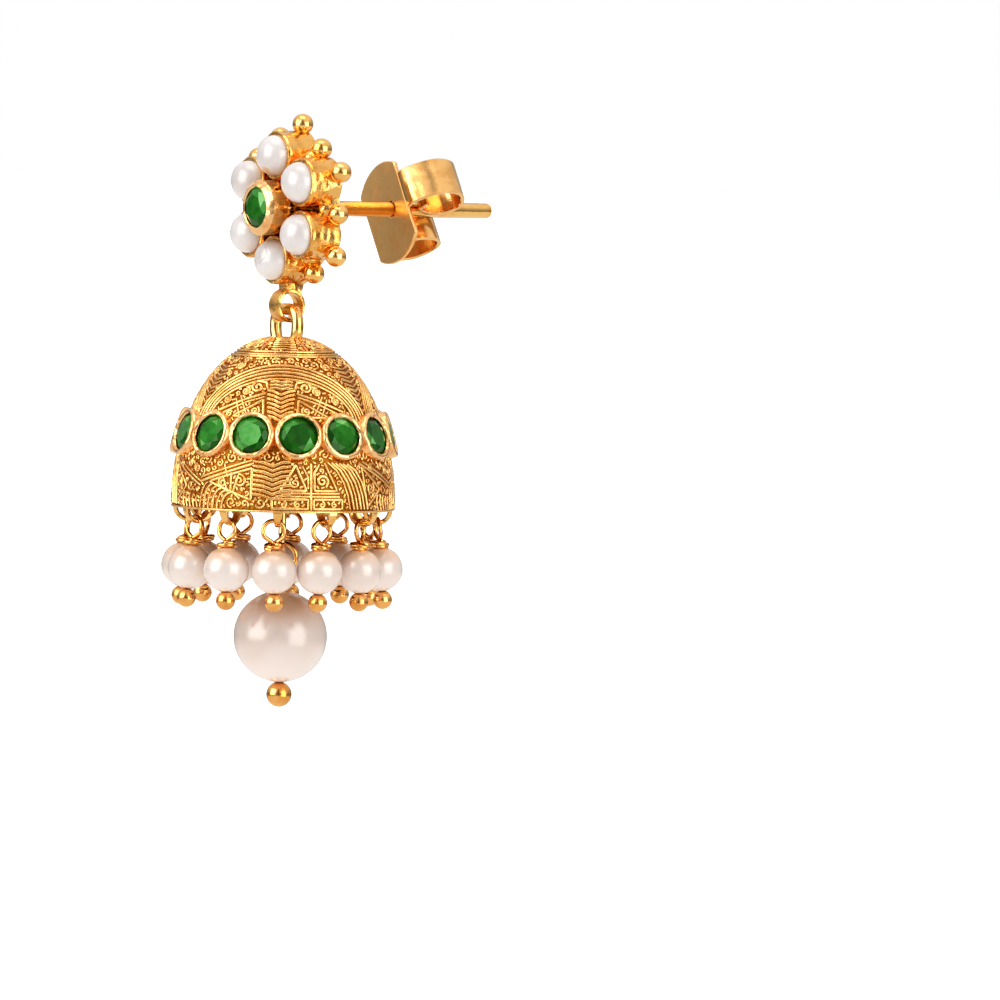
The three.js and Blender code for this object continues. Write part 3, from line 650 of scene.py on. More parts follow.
granule = Shape()
neck_start = math.asin(GRANULE_NECK / GRANULE_RADIUS)
arc = [neck_start + (math.pi - neck_start) * i / 18 for i in range(18)]
granule.turned([
    (0, -0.95), (0.52, -0.93), (0.42, -0.78), (0.36, -0.66),
    *((GRANULE_RADIUS * math.sin(a), -GRANULE_RADIUS * math.cos(a)) for a in arc), (0, GRANULE_RADIUS),
], 36)
granule_places = []
for index in range(2 * PETALS):
    if index == PETALS:
        continue  # the ring hangs there
    angle = math.radians(86 + 180 / PETALS * index)
    circle = NOTCH_GRANULE_CIRCLE if index % 2 else PETAL_GRANULE_CIRCLE
    circle += {1: 0.35, 2: 0.22}.get(index, 0)  # the two at the upper left sit a little further out
    spot = Vector((circle * math.cos(angle), -GRANULE_DEPTH, circle * math.sin(angle)))
    granule_places.append(Matrix.Translation(spot) @ Matrix.Rotation(math.pi / 2 - angle, 4, "Y"))
granules = set_on("granules", granule, granule_places, polished_gold)
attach(granules, "stud")


# The flower's stone: a round brilliant of green glass held in the collar by its scraped edge. Each face is
# flat and painted its own depth of green: painted light and shade for what the facets behind it throw back
# or not.
TABLE, KITE, CROWN, GIRDLE, PAVILION = 0.6, 0.8, 0.28, 0.05, 0.4


def stone_place(node):
    """Where a cut stone's girdle lies, its table along +Z, and its radius, read from the node's faces."""
    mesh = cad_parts[node].data
    areas = Counter()
    for face in mesh.polygons:
        areas[tuple(round(x, 2) for x in face.normal)] += face.area
    outward = Vector(areas.most_common(1)[0][0]).normalized()
    corners = {tuple(round(x / MM, 3) for x in vertex.co) for vertex in mesh.vertices}
    points = [Vector(corner) for corner in corners]
    centre = sum(points, Vector()) / len(points)
    reach = [((point - centre) - outward * (point - centre).dot(outward)).length for point in points]
    radius = max(reach)
    edge = [(p - centre).dot(outward) for p, r in zip(points, reach) if r > 0.97 * radius]
    centre += outward * min(edge)
    across = UP.cross(outward).normalized()
    return Matrix.Translation(centre) @ turned_to(across, outward.cross(across), outward), radius


def cut_stone(shape, painted_lights, place, radius, seed, look):
    """Adds a round brilliant, and each of its faces' painted light from 0, dark, to 1, light.

    Its look is the table's painted shade, the side that is painted lit and the side of a painted spark, in
    degrees.
    """
    rng = random.Random(seed)
    table_shade, lit_side, spark_side = look

    def ring(reach, height, count, turned=0.0):
        spots = [about_z(reach, angle, height) * radius for angle in round_angles(count, turned)]
        return [shape.add_point(place @ spot) for spot in spots]

    def shade(side, low, spread):
        """Painted light: lighter on the lit side, and a painted glint in the one or two facets that face
        the spark.
        """
        lit = max(0, math.cos(math.radians(side) - math.radians(lit_side))) ** 2
        spark = max(0, math.cos(math.radians(side) - math.radians(spark_side))) ** 24
        return min(1, max(0, low + 0.45 * lit + 0.7 * spark + spread * rng.uniform(-1, 1)))

    inward = (KITE * math.cos(math.pi / 8) - TABLE) / (1 - TABLE)
    table = ring(TABLE, CROWN, 8)
    star = ring(KITE, GIRDLE + (CROWN - GIRDLE) * (1 - inward), 8, 0.5)
    girdle = ring(1, GIRDLE, 16)
    under = ring(1, 0, 16)
    middle = shape.add_point(place @ Vector((0, 0, CROWN * radius)))
    culet = shape.add_point(place @ Vector((0, 0, -PAVILION * radius)))
    for k in range(8):
        n = (k + 1) % 8
        side = 45 * (k + 0.5)
        shape.faces.append((middle, table[k], table[n]))
        painted_lights.append(table_shade + 0.07 * rng.uniform(-1, 1))
        shape.faces.append((table[k], star[k], table[n]))
        painted_lights.append(shade(side, 0.18, 0.14))
        shape.faces.append((table[n], star[k], girdle[2 * n % 16], star[n]))
        painted_lights.append(shade(side + 22.5, 0.14, 0.16))
        for step in (0, 1):
            shape.faces.append((star[k], girdle[2 * k + step], girdle[(2 * k + step + 1) % 16]))
            painted_lights.append(shade(side - 11 + 22 * step, 0.08, 0.12))
    for k in range(16):
        n = (k + 1) % 16
        shape.faces.append((under[k], under[n], girdle[n], girdle[k]))
        shape.faces.append((under[n], under[k], culet))
        painted_lights.extend((0.1, 0.1))


def stone_object(name, shape, painted_lights, material):
    piece = shape.mesh_object(name, material, crease=4)
    depth = piece.data.attributes.new("facet", "FLOAT", "FACE")
    depth.data.foreach_set("value", painted_lights)
    return piece


green = Finish(
    "green_glass", IOR=1.57, Roughness=0.07, Specular_IOR_Level=0.3, Specular_Tint=(0.5, 1.0, 0.4, 1.0)
)
# The faces' painted light, with clouds and streaks of painted inner reflection, sets each face's green.
facet = green.node("ShaderNodeAttribute", {"attribute_name": "facet"}, output=2)
cloud = green.noise(0.55)
streak = green.cells(0.42).between(0.15, 0.6)
depth = facet + 0.16 * (cloud - 0.5) + 0.07 * (streak - 0.5)
green.feed(Base_Color=green.node("ShaderNodeValToRGB", {"stops": [
    (0.0, (0.002, 0.035, 0.001)), (0.3, (0.006, 0.120, 0.003)), (0.6, (0.030, 0.310, 0.022)),
    (1.0, (0.24, 0.66, 0.20)),
]}, {"Fac": depth}))
green_glass = green.material

flower_stone = Shape()
flower_painted_lights = []
flower_place, flower_radius = stone_place("flower_stone")
flower_place = Matrix.Translation((0, -0.1, 0)) @ flower_place
cut_stone(flower_stone, flower_painted_lights, flower_place, flower_radius, 11, (0.34, 60, 30))
flower_stone = stone_object("flower_stone_fine", flower_stone, flower_painted_lights, green_glass)
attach(flower_stone, "stud")
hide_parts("flower_stone")


# The half pearls: six domes of white pearl cemented into the cups, cool white above and warmer below where
# the gold shines into them. The top one has an orange blemish and the bottom one is finely cracked.
half_pearls = Shape()
dome_rise = half_pearl_boxes[0][1].y - half_pearl_boxes[0][0].y - SETTING_LIP
for index, centre in enumerate(petal_centres):
    base = seat_depth - cup_depth
    profile = [(0, base), (shown_pearl_radius, base), (shown_pearl_radius, -0.08)]
    for i in range(1, 20):
        angle = i / 20 * math.pi / 2
        profile.append((shown_pearl_radius * math.cos(angle) ** 0.94, dome_rise * math.sin(angle)))
    profile.append((0, dome_rise))

    def uneven(radius, height, angle, index=index):
        dent = 0.014 * noise.noise(about_z(1, angle, height + 5 * index))
        return radius if height <= 0 else radius * (1 + dent)

    mouth = Matrix.Translation(centre + Vector((0, -cup_depth, 0)))
    half_pearls.turned(profile, 56, mouth @ facing_front, uneven)

white_pearl = Finish(
    "white_pearl", Roughness=0.3, Coat_Weight=0.7, Coat_Roughness=0.2, Subsurface_Weight=0.1,
    Subsurface_Scale=0.001, IOR=1.6,
)
clouds = white_pearl.noise(1.9, detail=2.0).between(0.35, 0.7)
body = white_pearl.mixed(clouds, (0.90, 0.88, 0.88), (0.79, 0.74, 0.72))
blemish = white_pearl.distance_from(petal_centres[0] + Vector((0.1, -cup_depth - 0.62, -0.82)))
body = white_pearl.mixed(1 - blemish.between(0.22 * MM, 0.42 * MM), body, (0.75, 0.45, 0.2))
cracked = white_pearl.distance_from(petal_centres[3] + Vector((0, -cup_depth - 0.7, 0.35)))
near_crack = 1 - cracked.between(0.5 * MM, 0.95 * MM)
crack = 1 - white_pearl.cells(0.75, feature="DISTANCE_TO_EDGE").between(0.0, 0.05)
body = white_pearl.mixed(crack * near_crack * 0.55, body, (0.35, 0.3, 0.28))
white_pearl.feed(Base_Color=body)
white_pearl.bump(white_pearl.noise(0.9, detail=2.0) * 0.02 - crack * near_crack * 0.02, 1.0)
half_pearls = half_pearls.mesh_object("half_pearls", white_pearl.material)
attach(half_pearls, "stud")
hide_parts(*(f"half_pearl_{i + 1}" for i in range(PETALS)))


# The clutch: one strip of springy gold sheet. Its middle is a round plate with the post's hole, and both
# ends are rolled back into scrolls that grip the post from either side.
CLUTCH_TURN = math.radians(31)
CLUTCH_SHEET = 0.28
CLUTCH_PLATE_RADIUS = 3.25
CLUTCH_PLATE_OFFSET = 0.4
CLUTCH_UPPER_REACH = 1.65
CLUTCH_LOWER_REACH = 2.65
SCROLL_WIDTH = 2.45
SCROLL_OFFSET = 0.5
SCROLL_REACH = 3.55
POST_HOLE = POST_RADIUS + 0.06

clutch_low, clutch_high = box_mm("clutch")
scroll_depth = clutch_high.y - clutch_low.y
clutch = Shape()
clutch_place = Matrix.Translation((0, clutch_low.y, 0)) @ Matrix.Rotation(-CLUTCH_TURN, 4, "Y")

OUTLINE_POINTS = 96
edge_rows = [[] for _ in range(6)]
for angle in round_angles(OUTLINE_POINTS):
    x, z = math.cos(angle), math.sin(angle)
    heading = Vector((x, 0, z))
    reach = math.sqrt(CLUTCH_PLATE_RADIUS ** 2 - (CLUTCH_PLATE_OFFSET * z) ** 2) - CLUTCH_PLATE_OFFSET * x
    if x > 0:
        reach = min(reach, CLUTCH_UPPER_REACH / x)
    if x < 0:
        reach = min(reach, CLUTCH_LOWER_REACH / -x)
    reach += 0.03 * noise.noise(Vector((1.5 * x, 1.5 * z, 3)))
    around_hole, outer, inset = heading * POST_HOLE, heading * reach, heading * (reach - 0.05)
    up = Vector((0, CLUTCH_SHEET, 0))
    for row, spot in zip(edge_rows, (
        around_hole, inset, outer + 0.2 * up, outer + 0.8 * up, inset + up, around_hole + up,
    )):
        row.append(clutch.add_point(clutch_place @ spot))
edge_rows.append(edge_rows[0])
for low, high in zip(edge_rows, edge_rows[1:]):
    for k in range(OUTLINE_POINTS):
        n = (k + 1) % OUTLINE_POINTS
        clutch.faces.append((low[k], low[n], high[n], high[k]))

clutch.coat_with(1)  # the scrolls are brighter than the plate
grip = POST_HOLE + CLUTCH_SHEET / 2
outside = SCROLL_REACH - CLUTCH_SHEET / 2
back = scroll_depth - CLUTCH_SHEET / 2
start = 0.2 / back
roll = smooth_line([(grip + x * (outside - grip), y * back, SCROLL_OFFSET) for x, y in (
    (0.25, start), (0.51, start), (0.69, 0.15), (0.91, 0.33), (1, 0.53), (0.91, 0.78), (0.61, 0.96),
    (0.29, 1), (0.05, 0.85), (0, 0.63), (0.07, 0.43), (0.24, 0.33), (0.43, 0.38),
)], 9)
for half_turn in (0, math.pi):
    clutch.swept(
        roll, sheet_section(CLUTCH_SHEET, SCROLL_WIDTH, 0.06), out=(0, 1, 0),
        place=clutch_place @ Matrix.Rotation(half_turn, 4, "Y"),
    )
sheet_gold = gold_finish(
    "sheet_gold", (0.88, 0.50, 0.18), (0.72, 0.36, 0.10), 0.17, 0.06, 1.4, 0.006, 0.14
)
dull_gold = gold_finish(
    "dull_gold", (0.95, 0.55, 0.20), (0.84, 0.43, 0.13), 0.32, 0.05, 1.2, 0.010, 0.14
)
clutch = clutch.mesh_object("clutch_fine", dull_gold, sheet_gold)
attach(clutch, "clutch")
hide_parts("clutch")


# The bell's shell: a dome of gold cast with a deep pattern. The ground between the raised lines is pebbled
# and rougher, because polishing reaches only the lines, and coloured dark brown-orange as painted shade in
# the recesses.
BELL_HEIGHT = 10.7
BELL_FULLNESS = 2.1
BELL_WALL = 0.5
RIM_THICKNESS = 0.45

bell_points = [vertex.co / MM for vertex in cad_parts["bell"].data.vertices]
rim_z = Counter(round(point.z, 3) for point in bell_points).most_common(1)[0][0]
pearl_middle = middle_mm("main_pearl")
bell_axis = Vector((pearl_middle.x, pearl_middle.y, 0))
rim_reach = [(Vector((p.x, p.y, 0)) - bell_axis).length for p in bell_points if abs(p.z - rim_z) < 0.001]
bell_radius = max(rim_reach)
mouth_radius = min(rim_reach)
bell_top = rim_z + BELL_HEIGHT


def drop_azimuth(index):
    """Degrees round the bell's axis from the earring's front to a rim drop's eye."""
    points = [vertex.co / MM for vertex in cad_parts[f"rim_pin_{index + 1}"].data.vertices]
    top = max(points, key=lambda point: point.z) - bell_axis
    return math.degrees(math.atan2(top.x, -top.y))


bell_turn = drop_azimuth(0)

WALL_STEPS = 600
wall_line = []  # from its top to the rim, as (length along it, (radius, drop))
wall_length = 0.0
for i in range(WALL_STEPS + 1):
    angle = i / WALL_STEPS * math.pi / 2
    power = 2 / BELL_FULLNESS
    spot = (bell_radius * math.sin(angle) ** power, BELL_HEIGHT * (1 - max(0, math.cos(angle)) ** power))
    if wall_line:
        wall_length += math.dist(spot, wall_line[-1][1])
    wall_line.append((wall_length, spot))


def wall_spot(along):
    """Radius and drop of the wall at a length down it from its top, and the outward normal there."""
    low, high = 0, WALL_STEPS
    along = max(0.0, min(wall_length, along))
    while high - low > 1:
        mid = (low + high) // 2
        if wall_line[mid][0] > along:
            high = mid
        else:
            low = mid
    (s0, (r0, d0)), (s1, (r1, d1)) = wall_line[low], wall_line[high]
    t = (along - s0) / max(1e-9, s1 - s0)
    slope = Vector((r1 - r0, d1 - d0)).normalized()
    return r0 + (r1 - r0) * t, d0 + (d1 - d0) * t, (slope.y, slope.x)


def on_wall(azimuth, along, out=0.0):
    """A point on the bell: degrees from its own front, millimetres down the wall, millimetres off it."""
    radius, drop, (level, rise) = wall_spot(along)
    angle = math.radians(azimuth + bell_turn)
    reach = radius + level * out
    height = bell_top - drop + rise * out
    return bell_axis + Vector((reach * math.sin(angle), -reach * math.cos(angle), height))


shell = Shape()
profile = [(mouth_radius, rim_z), (bell_radius - 0.05, rim_z), (bell_radius - 0.015, rim_z + 0.04)]
for i in range(60, 0, -1):
    radius, drop, _ = wall_spot(wall_length * i / 61)
    profile.append((radius, bell_top - drop))
profile += [(0, bell_top), (0, bell_top - BELL_WALL)]
inner_scale = (bell_radius - BELL_WALL) / bell_radius
rim_back = rim_z + RIM_THICKNESS
for i in range(1, 30):
    radius, drop, _ = wall_spot(wall_length * i / 30)
    height = bell_top - BELL_WALL - drop * (BELL_HEIGHT - BELL_WALL) / BELL_HEIGHT
    if height > rim_back + 0.05:
        profile.append((radius * inner_scale, height))
profile += [(mouth_radius + 0.25, rim_back), (mouth_radius, rim_back - 0.04), profile[0]]
shell.turned(profile, 168, Matrix.Translation(bell_axis))
ground = Finish("pebbled_ground", Metallic=1.0)
pebbles = ground.cells(0.17, feature="SMOOTH_F1")
patches = ground.noise(1.6).between(0.35, 0.7)
# The ground's dark brown-orange colours are painted shade in the recesses between the raised lines; the
# patches vary it at random.
ground.feed(
    Base_Color=ground.mixed(patches, (0.36, 0.12, 0.010), (0.20, 0.055, 0.003)),
    Roughness=0.42 + 0.16 * ground.noise(0.3, detail=2.0),
)
ground.bump((1 - pebbles) * 0.055 + ground.noise(0.5) * 0.1, 1.0)
shell = shell.mesh_object("bell_shell", ground.material, crease=50)
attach(shell, "bell")
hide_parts("bell")


# The bell's raised lines: scrolls, arches, pleats and triangles of round-topped gold line, cast with the
# dome and polished on top. The pattern stands three times round the bell.
REPEATS = 3
LINE_STEP = 0.15
FINE, MAIN, PLEAT = 0.073, 0.092, 0.108  # the lines' radii
LINE_LIFT = 0.45  # how far a line's middle stands off the wall, as a share of its radius


def stroke(points):
    """The corners of a line as azimuth and length down the wall, with points added between them."""
    spaced = [points[0]]
    for (a0, s0), (a1, s1) in zip(points, points[1:]):
        radius = wall_spot((s0 + s1) / 2)[0]
        length = math.hypot(math.radians(a1 - a0) * radius, s1 - s0)
        count = max(1, math.ceil(length / LINE_STEP))
        spaced += [(a0 + (a1 - a0) * k / count, s0 + (s1 - s0) * k / count) for k in range(1, count + 1)]
    return spaced


def curl(azimuth, along, radius, start=90, way=1, tail=(), turns=1.55):
    """A spiral that winds out of its middle, and then runs on to the tail's points."""
    wall = wall_spot(along)[0]
    count = max(7, int(turns * 30 * max(0.3, radius) ** 0.8))
    points = []
    for k in range(count + 1):
        share = k / count
        angle = math.radians(start + way * 360 * turns * (share - 1))
        reach = radius * (0.12 + 0.88 * share)
        across = math.degrees(reach * math.cos(angle) / wall)
        points.append((azimuth + across, along - reach * math.sin(angle)))
    return [*points, *tail]


def pleat(half, edge, quarter, peak):
    """A dart across a column: five points from edge to edge, at these lengths down the wall."""
    return [(-half, edge), (-half / 2, quarter), (0, peak), (half / 2, quarter), (half, edge)]


def frame_line(left, right, top, bottom):
    return [(left, top), (right, top), (right, bottom), (left, bottom), (left, top)]


def mirrored(points, about=0.0):
    return [(2 * about - azimuth, along) for azimuth, along in points]


lines = []  # (radius, points) for one repeat, round the arch at azimuth 0


def draw(radius, points, mirror=None):
    lines.append((radius, stroke(points)))
    if mirror is not None:
        lines.append((radius, stroke(mirrored(points, mirror))))


def draw_all(*rows, mirror=None):
    """Draws each row, a line's radius and its points."""
    for radius, points in rows:
        draw(radius, points, mirror)


# The cap: six fields between radial lines, striped and curled by turns.
for azimuth in (-30, 30):
    draw(MAIN, [(azimuth, 1.2), (azimuth, 3.05)])
for k in range(6):
    down = 0.29 * k
    draw(FINE, pleat(21 - k, 1.38 + down, 1.42 + down, 1.36 + down))
draw(MAIN, [(-30, 1.2), (-15, 1.18), (0, 1.18), (15, 1.18), (30, 1.2), (60, 1.15), (90, 1.2)])
for azimuth, way in ((44, 1), (76, -1)):
    draw(MAIN, curl(azimuth, 2.35, 0.5, 90, way))
    draw(FINE, curl(azimuth, 1.6, 0.24, -60, -way, turns=1.1))
draw(FINE, [(60, 1.25), (60, 3.0)])
draw(FINE, [(34, 2.95), (48, 2.88), (60, 2.98)], mirror=60)
for along, radius in ((3.15, MAIN), (3.4, FINE), (3.62, MAIN)):
    draw(radius, [(60 * k - 30, along) for k in range(3)])

# The scroll band under the cap.
for k in range(8):
    azimuth = -52.5 + 15 * k
    start, way, end = (30, -1, 5) if k % 2 else (150, 1, -5)
    draw(FINE, curl(azimuth, 4.02, 0.26, start, way, [(azimuth + end, 3.86)], turns=1.3))

# The arch over the stones: five lines, one inside the other.
ARCH_FOOT = 8.35  # length down the wall
for k in range(5):
    half_angle, apex = 58.5 - 2.6 * k, 4.42 + 0.27 * k
    points = []
    for i in range(33):
        angle = math.pi * i / 32
        points.append((-half_angle * math.cos(angle), ARCH_FOOT - (ARCH_FOOT - apex) * math.sin(angle)))
    draw(MAIN if k % 2 == 0 else FINE * 1.1, points)

# Inside the arch: a pleated column, with scrolls, rays and triangles to both sides of it.
for k in range(3):
    along = 5.72 + 0.24 * k
    draw(PLEAT, pleat(8, along + 0.05, along - 0.04, along + 0.06))
for k in range(7):
    along = 6.45 + 0.29 * k
    draw(PLEAT, pleat(9.5 - 0.35 * k, along - 0.12, along - 0.02, along + 0.2))
draw_all(
    (MAIN, curl(-17, 6.1, 0.42, 80, -1, [(-11, 5.78), (-9.5, 6.25)])),
    (MAIN, curl(-25, 6.42, 0.3, 100, 1, [(-21, 6.05)])),
    (MAIN, [(-10.5, 6.55), (-23, 6.95), (-41, 7.75)]),
    (FINE, [(-11, 6.78), (-23, 7.18), (-38, 7.95)]),
    (MAIN, [(-11.5, 7.0), (-10.2, 8.1), (-30, 8.15), (-11.5, 7.0)]),
    (FINE, curl(-16, 7.72, 0.3, 60)),
    (FINE, [(-28, 6.75), (-21, 8.0)]),
    (FINE, [(-31, 6.95), (-25.5, 8.1)]),
    (MAIN, curl(-37.5, 7.05, 0.3, 100, 1, [(-33, 6.75)])),
    (FINE, curl(-33, 8.0, 0.24, 30, -1)),
    (FINE, [(-43, 7.6), (-41, 8.1)]),
    mirror=0,
)

# Between the arches: nested darts under a pair of scrolls.
for k in range(9):
    along = 4.55 + 0.33 * k
    half = 14.5 - 1.45 * k
    draw(MAIN if k % 2 else FINE, [(60 - half, along - 0.1), (60, along + 0.16), (60 + half, along - 0.1)])
draw_all(
    (MAIN, curl(40.5, 4.5, 0.33, 120, -1)),
    (FINE, curl(48, 5.15, 0.24, 60)),
    (FINE, curl(52.5, 6.3, 0.2, 90, -1)),
    mirror=60,
)

# The lower wall: two panels of pleats, triangles, frames and sweeping arcs.
for k in range(8):
    along = 11.0 + 0.29 * k
    draw(PLEAT, [
        (-13.5, along - 0.06), (-8, along + 0.02), (-3, along + 0.24), (1.5, along + 0.02),
        (6.5, along - 0.06),
    ])
draw_all(
    (MAIN, [(-14, 11.4), (-14, 13.35), (-39, 12.3), (-14, 11.4)]),
    (MAIN, curl(-20.5, 12.2, 0.42, 100, 1, [(-24, 12.9), (-20, 13.3)])),
    (MAIN, curl(-30.5, 12.35, 0.33, 80, -1, [(-27, 12.9)])),
    (FINE, [(-25.5, 11.7), (-25.5, 12.95)]),
    (MAIN, [(-45, 12.32), (-13, 11.1)]),
    (FINE, [(-45, 12.06), (-14, 10.88)]),
    (FINE, [(-30, 11.2), (-27.5, 12.0)]),
)
for k in range(6):
    points = []
    for i in range(9):
        angle = math.pi / 2 * i / 8
        points.append((-46.5 + 2.9 * k + 5.5 * math.sin(angle), 13.95 - (1.6 - 0.12 * k) * math.cos(angle)))
    draw(MAIN if k % 2 else FINE, mirrored(points, -43 + 2.9 * k))
draw_all(
    (MAIN, [(9, 11.15), (14.8, 12.72), (1.2, 12.72), (9, 11.15)]),
    (FINE, curl(8.6, 12.25, 0.33, 120, -1)),
    (FINE, [(12.5, 11.2), (15.6, 11.9), (15.6, 12.6)]),
    (MAIN, [(17.2, 11.05), (17.2, 13.9)]),
    (MAIN, [(24.5, 10.98), (31.5, 12.72), (19, 12.72), (19, 11.6), (21.5, 11.1)]),
    (MAIN, curl(23.2, 12.12, 0.42, -60, -1)),
    (FINE, [(-1.5, 12.88), (33, 12.88)]),
    (FINE, [(-1.5, 13.08), (33, 13.08)]),
    (MAIN, frame_line(-3, 15.6, 13.26, 13.84)),
    (MAIN, frame_line(18.6, 34.5, 13.26, 13.84)),
    *((FINE, curl(azimuth, 13.58, 0.22, 90, way, turns=1.2))
      for azimuth, way in ((3, 1), (10, -1), (23, 1), (30, -1))),
)
for k in range(6):
    draw(MAIN if k % 2 else FINE, [
        (26.5 + 2.3 * k, 10.95 + 0.02 * k), (31.5 + 2.4 * k, 11.45), (35.5 + 2.45 * k, 12.2),
        (38 + 2.45 * k, 13.0), (39.5 + 2.45 * k, 13.85),
    ])
draw_all(
    (MAIN, [(48, 11.25), (62.5, 12.65), (51.5, 13.75), (48, 11.25)]),
    (MAIN, curl(54.2, 12.55, 0.38, 60)),
    (FINE, curl(55.5, 11.3, 0.25, 60, -1)),
    (MAIN, [(46, 11.0), (75, 12.6)]),
    (FINE, [(49, 10.9), (75, 12.34)]),
    (FINE, curl(64, 11.2, 0.27, 60)),
    (FINE, curl(71, 11.5, 0.3, 100, -1)),
)
for k in range(5):
    draw(FINE, [(61 + 3 * k, 13.95), (59.5 + 3 * k, 13.4), (60.5 + 3 * k, 12.95 + 0.05 * k)])
draw(FINE, [(-45 + 15 * k, 14.03) for k in range(9)])

# Small curls and grains fill what is left of the ground, as large as they fit, except under the stones.
STONE_BAND = (8.4, 10.4)
FILLERS = ((0.34, 1500), (0.25, 3000), (0.18, 6000), (0.1, 12000), (0.07, 12000))  # size, tries
SMALLEST_CURL = 0.15  # fillers below it are short grains
CLEARANCE = 0.09
CELL = 0.2
crowd = {}  # points of the lines, by the square cells that they lie in


def flat_spot(azimuth, along):
    return math.radians(azimuth) * wall_spot(along)[0], along


def add_to_crowd(points):
    for azimuth, along in points:
        for turn_back in (-120, 0, 120):
            x, y = flat_spot(azimuth + turn_back, along)
            crowd.setdefault((math.floor(x / CELL), math.floor(y / CELL)), []).append((x, y))


def clear_by(azimuth, along, reach):
    """Whether no line comes nearer to the spot than reach."""
    x, y = flat_spot(azimuth, along)
    cells = math.ceil(reach / CELL)
    column, row = math.floor(x / CELL), math.floor(y / CELL)
    for i in range(column - cells, column + cells + 1):
        for j in range(row - cells, row + cells + 1):
            for near_x, near_y in crowd.get((i, j), ()):
                if (near_x - x) ** 2 + (near_y - y) ** 2 < reach * reach:
                    return False
    return True


for _, points in lines:
    add_to_crowd(points)
scatter = random.Random(8)
for radius, tries in FILLERS:
    curled = radius > SMALLEST_CURL
    for _ in range(tries):
        azimuth = scatter.uniform(-60, 60)
        along = scatter.choice((scatter.uniform(1.3, STONE_BAND[0]), scatter.uniform(STONE_BAND[1], 13.8)))
        if not clear_by(azimuth, along, radius + CLEARANCE):
            continue
        if curled:
            way = scatter.choice((-1, 1))
            small = stroke(curl(azimuth, along, radius, scatter.uniform(0, 360), way, turns=0.9 + radius))
        else:
            lean = scatter.uniform(0, math.pi)
            wall = math.radians(1) * wall_spot(along)[0]
            reach = 1.1 * radius
            across, down = reach * math.cos(lean) / wall, reach * math.sin(lean)
            small = [(azimuth + side * across, along + side * down) for side in (-1, 0, 1)]
        lines.append((FINE * (0.95 if curled else 1.1), small))
        add_to_crowd(small)

# Each line is a thread of points in the wall. The tree turns the threads into round ridges.
ridger, given = node_group("ridges", ("Thickness", "Float"), ("Sides", "Int"))
thread = add_node(ridger, "GeometryNodeMeshToCurve", None, {"Mesh": given["Geometry"]})
section = add_node(ridger, "GeometryNodeCurvePrimitiveCircle", None, {
    "Resolution": given["Sides"], "Radius": given["Thickness"],
})
ridge = add_node(ridger, "GeometryNodeCurveToMesh", None, {
    "Curve": thread, "Profile Curve": section, "Scale": point_value(ridger, "weight"), "Fill Caps": True,
})
smooth_ridge = add_node(ridger, "GeometryNodeSetShadeSmooth", None, {"Geometry": ridge})
put_out(ridger, smooth_ridge, given["Material"])

line_gold = gold_finish(
    "line_gold", (0.93, 0.55, 0.19), (0.70, 0.34, 0.075), 0.15, 0.03, 0.4, 0.02, 0.1
)
for part, (first, last) in (("cap", (0, 4.3)), ("arches", (4.3, 9.4)), ("wall", (9.4, 20))):
    threads, edges, weights = [], [], []
    for repeat in range(REPEATS):
        for index, (radius, points) in enumerate(lines):
            if not first <= points[len(points) // 2][1] < last:
                continue
            for k, (azimuth, along) in enumerate(points):
                if k:
                    edges.append((len(threads) - 1, len(threads)))
                around = azimuth + repeat * 360 / REPEATS
                threads.append(on_wall(around, along, LINE_LIFT * radius) * MM)
                wave = noise.noise(Vector((azimuth * 0.12, along * 1.7, index * 3.7 + repeat)))
                weights.append(radius * (1 + 0.22 * wave))
    thread_mesh = bpy.data.meshes.new("raised_lines_" + part)
    thread_mesh.from_pydata(threads, edges, [])
    thread_mesh.attributes.new("weight", "FLOAT", "POINT").data.foreach_set("value", weights)
    raised_lines = add_object("raised_lines_" + part, thread_mesh)
    grow(ridger, raised_lines, Thickness=1.0 * MM, Sides=7, Material=line_gold)
    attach(raised_lines, "bell")


# The band's bezels: fourteen collars of paler sheet pressed down over the stones with a tool that leaves
# small flats, each soldered to the wall.
BEZEL_WALL = 0.29
BEZEL_HEIGHT = 0.5
BAND_STONES = 14
band_places, band_radii = zip(*(stone_place(f"band_stone_{i + 1}") for i in range(BAND_STONES)))
band_radius = band_radii[0]
bezel = Shape()
table_height = CROWN * band_radius
base = -BEZEL_HEIGHT + table_height


def pressed(radius, height, angle):
    spot = about_z(2.4, angle, 0.4 * height)
    if radius < band_radius + 0.05:
        return radius + 0.015 * noise.noise(spot * 1.6)
    return radius + 0.05 * noise.noise(spot) - 0.01


bezel.turned([(band_radius + 0.03, base - 0.25), *beside(
    band_radius + BEZEL_WALL, (0.02, base - 0.25), (0.02, base + 0.02), (-0.01, base + 0.15),
    (0, table_height - 0.19), (-0.03, table_height - 0.08), (-0.1, table_height - 0.01),
), *beside(
    band_radius, (0.09, table_height + 0.02), (0.01, table_height - 0.01), (-0.05, table_height - 0.12),
    (0.03, table_height - 0.27), (0.03, base - 0.25),
)], 56, reshape=pressed)
bezel_places = [place @ Matrix.Rotation(2.4 * i, 4, "Z") for i, place in enumerate(band_places)]
bezels = set_on("band_bezels", bezel, bezel_places, peach_gold)
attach(bezels, "bell")


